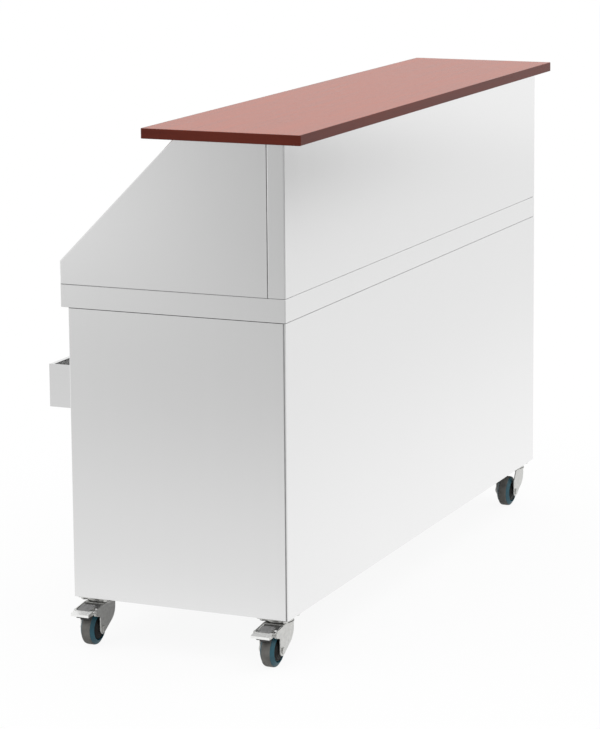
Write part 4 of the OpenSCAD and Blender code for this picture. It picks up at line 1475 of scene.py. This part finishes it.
@dataclass(frozen=True)
class PaintedSweep:
    """Painted reflection: brightness that metal sees in the floor's glow, as soft steps over its X and Y,
    with painted shade and a painted shadow under the unit.
    """

    # Levels and steps of the painted reflection that the metal panels show.
    end_level: float = 0.90
    end_lift: Step = Step(1.5, 2.0, 0.10)
    end_fall: Step = Step(2.4, 2.6, -0.24)
    end_rim: Step = Step(7.6, 2.4, -0.07)
    slant: Step = Step(-0.43, 1.2, 0.36)
    slant_turn: float = 0.49
    slant_start: Step = Step(5.0, 1.2)
    guest_level: float = 1.08
    guest_fall: Step = Step(0.9, 1.4, -0.12)
    guest_rim: Step = Step(7.8, 1.6, 0.10)
    shade: Step = Step(3.4, 1.4, -0.80)
    shade_end: Step = Step(7.4, 2.0)
    parting: Step = Step(-1.0, 1.0)
    shadow_under_x: Step = Step(0.74, 0.16)
    shadow_under_y: Step = Step(0.24, 0.12)
    shadow_under_depth: float = 0.70

    def level(self, board: Board) -> Wire:
        """Brightness at each point: one level beyond the near end, another on the guest side.

        Under the unit both are dimmed as a painted shadow.

        Args:
            board: node tree of the floor.

        Returns:
            The brightness.
        """
        x, y, _ = board.parts(board.place())
        slant = self.slant.over(y + x * self.slant_turn) - self.slant.weight / 2
        end_side = self.end_lift.over(y) + self.end_fall.over(-x) + self.end_rim.over(-x)
        end_side = end_side + slant * self.slant_start.over(-x) + self.end_level
        # Painted shade on the guest side, seen in the riser's reflection.
        shade = self.shade.over(-y) * (1 - self.shade_end.over(x))
        guest_side = self.guest_fall.over(-y) + self.guest_rim.over(x) + shade + self.guest_level
        share = self.parting.over(x)
        # Painted shadow under the unit, seen in the metal's reflections.
        shadow_under = (1 - self.shadow_under_x.over(abs(x))) * (1 - self.shadow_under_y.over(abs(y)))
        return (guest_side * share + end_side * (1 - share)) * (1 - shadow_under * self.shadow_under_depth)


@dataclass(frozen=True)
class Lamp:
    """Square area lamp that faces a point."""

    name: str
    place: tuple[float, float, float]
    aim: tuple[float, float, float]
    size: float
    watts: float

    def build(self) -> None:
        """Adds the lamp, hidden from the camera."""
        data = bpy.data.lights.new(self.name, "AREA")
        data.shape = "SQUARE"
        data.size = self.size
        data.energy = self.watts
        obj = bpy.data.objects.new(self.name, data)
        turn = (Vector(self.aim) - Vector(self.place)).to_track_quat("-Z", "Y")
        obj.matrix_world = Matrix.Translation(self.place) @ turn.to_matrix().to_4x4()
        obj.visible_camera = False
        bpy.context.scene.collection.objects.link(obj)


@dataclass
class Studio:
    """Camera, floor, lamps and background."""

    place: tuple[float, float, float] = (-6.11925, -2.68220, 1.87420)
    yaw_deg: float = 23.78
    pitch_deg: float = 9.54
    roll_deg: float = 0.49
    focal_px: float = 2882.6
    centre_px: Point = (299.5, 255.0)
    picture_px: tuple[int, int] = (600, 729)
    sensor: float = 36.0
    view_end: float = 200.0
    floor_half: float = 60.0
    floor_tone: Colour = (0.40, 0.40, 0.40)
    floor_glow: float = 1.02
    floor_white: float = 0.90
    sweep: PaintedSweep = PaintedSweep()
    room: tuple[float, float, float] = (0.16, -0.04, 0.08)
    room_level: float = 0.78
    dome_rise: float = 2.3
    dome_level: float = 0.55
    lamps: tuple[Lamp, ...] = (
        Lamp("guest_side_lamp", (2.5, -4.5, 2.6), (0.0, 0.0, 0.6), 3.0, 25.0),
        Lamp("end_side_lamp", (-2.4, 2.0, 1.0), (-0.76, 0.2, 0.9), 1.2, 2.0),
    )

    def camera(self) -> None:
        """Camera fitted to the photograph's edges, with the picture's centre as a lens shift."""
        yaw, pitch, roll = (math.radians(a) for a in (self.yaw_deg, self.pitch_deg, self.roll_deg))
        level = math.cos(pitch)
        ahead = np.array([math.cos(yaw) * level, math.sin(yaw) * level, -math.sin(pitch)])
        right = np.array([math.sin(yaw), -math.cos(yaw), 0.0])
        down = np.cross(ahead, right)
        side = math.cos(roll) * right + math.sin(roll) * down
        below = -math.sin(roll) * right + math.cos(roll) * down
        data = bpy.data.cameras.new("photo_camera")
        long_px = max(self.picture_px)
        data.sensor_width = self.sensor
        data.lens = self.focal_px / long_px * self.sensor
        data.shift_x = (self.picture_px[0] / 2 - self.centre_px[0] - 0.5) / long_px
        data.shift_y = (self.centre_px[1] + 0.5 - self.picture_px[1] / 2) / long_px
        data.clip_end = self.view_end
        camera = bpy.data.objects.new("photo_camera", data)
        turn = Matrix((side, -below, -ahead)).transposed().to_4x4()
        camera.matrix_world = Matrix.Translation(self.place) @ turn
        bpy.context.scene.collection.objects.link(camera)
        bpy.context.scene.camera = camera

    @staticmethod
    def rays(board: Board) -> tuple[Wire, Wire]:
        """Tells rays apart by their kind.

        Args:
            board: node tree of the floor or the world.

        Returns:
            1 for rays from the camera, and 1 for rays that are mirrored or looked through.
        """
        path = board.node("ShaderNodeLightPath", out="Is Camera Ray")
        outputs = path.socket.node.outputs
        through = Wire(board, outputs["Is Transmission Ray"])
        return path, Wire(board, outputs["Is Glossy Ray"]).most(through)

    def floor(self) -> None:
        """Pale floor that is nearly white to the camera and keeps a soft shadow.

        Metal sees a glowing sweep close to the unit that dims a little further away: painted reflection
        levels with painted shade and a painted shadow under the unit.
        """
        corners = loop([-self.floor_half] * 2, [self.floor_half] * 2, 0, 1)[::2]
        mesh = bpy.data.meshes.new("floor")
        mesh.from_pydata(Plane.PLAN.lift(corners, 0).tolist(), [], [range(4)])
        obj = bpy.data.objects.new("floor", mesh)
        bpy.context.scene.collection.objects.link(obj)
        made = bpy.data.materials.new("pale_floor")
        made.use_nodes = True
        board = Board(made.node_tree)
        camera, mirrored = self.rays(board)
        matt = board.node("ShaderNodeBsdfDiffuse", feeds={"Color": (*self.floor_tone, 1.0)})
        # Rays other than the camera's see the floor glow at the painted reflection levels.
        level = camera * self.floor_glow + self.sweep.level(board) * (1 - camera)
        glow = board.node("ShaderNodeEmission", feeds={"Color": WHITE, "Strength": level})
        seen = camera * self.floor_white + mirrored * (1 - camera)
        mixed = board.node("ShaderNodeMixShader", feeds={0: seen, 1: matt, 2: glow})
        board.node("ShaderNodeOutputMaterial", feeds={"Surface": mixed})
        mesh.materials.append(made)

    def background(self) -> None:
        """White to the camera, a pale room to metal, and a soft light from above to the rest."""
        world = bpy.data.worlds.new("studio")
        bpy.context.scene.world = world
        world.use_nodes = True
        board = Board(world.node_tree)
        x, y, z = board.parts(board.node("ShaderNodeTexCoord", out="Generated"))
        camera, mirrored = self.rays(board)
        room = x * self.room[0] + y * self.room[1] + z * self.room[2] + self.room_level
        dome = z.most(0.0) * self.dome_rise + self.dome_level
        level = room * mirrored + dome * (1 - mirrored)
        level = camera + level * (1 - camera)
        glow = board.node("ShaderNodeBackground", feeds={"Color": WHITE, "Strength": level})
        board.node("ShaderNodeOutputWorld", feeds={"Surface": glow})

    def build(self) -> None:
        """Makes the studio."""
        bpy.context.scene.view_settings.view_transform = "Standard"
        self.camera()
        self.floor()
        self.background()
        for lamp in self.lamps:
            lamp.build()


def main() -> None:
    """Builds the studio and every sub-assembly."""
    logging.basicConfig(level=logging.INFO, format="%(message)s")
    Studio().build()
    for assembly in (BarTop(), Riser(), WorkTop(), Cabinet(), SpeedRail(), IceBin(), CasterHeads()):
        assembly.build()
    for corner in CORNERS:
        parts = (Fork, Wheel, Brake) if corner in BRAKED else (Fork, Wheel)
        for part in parts:
            part(corner).build()


if __name__ == "__main__":
    main()
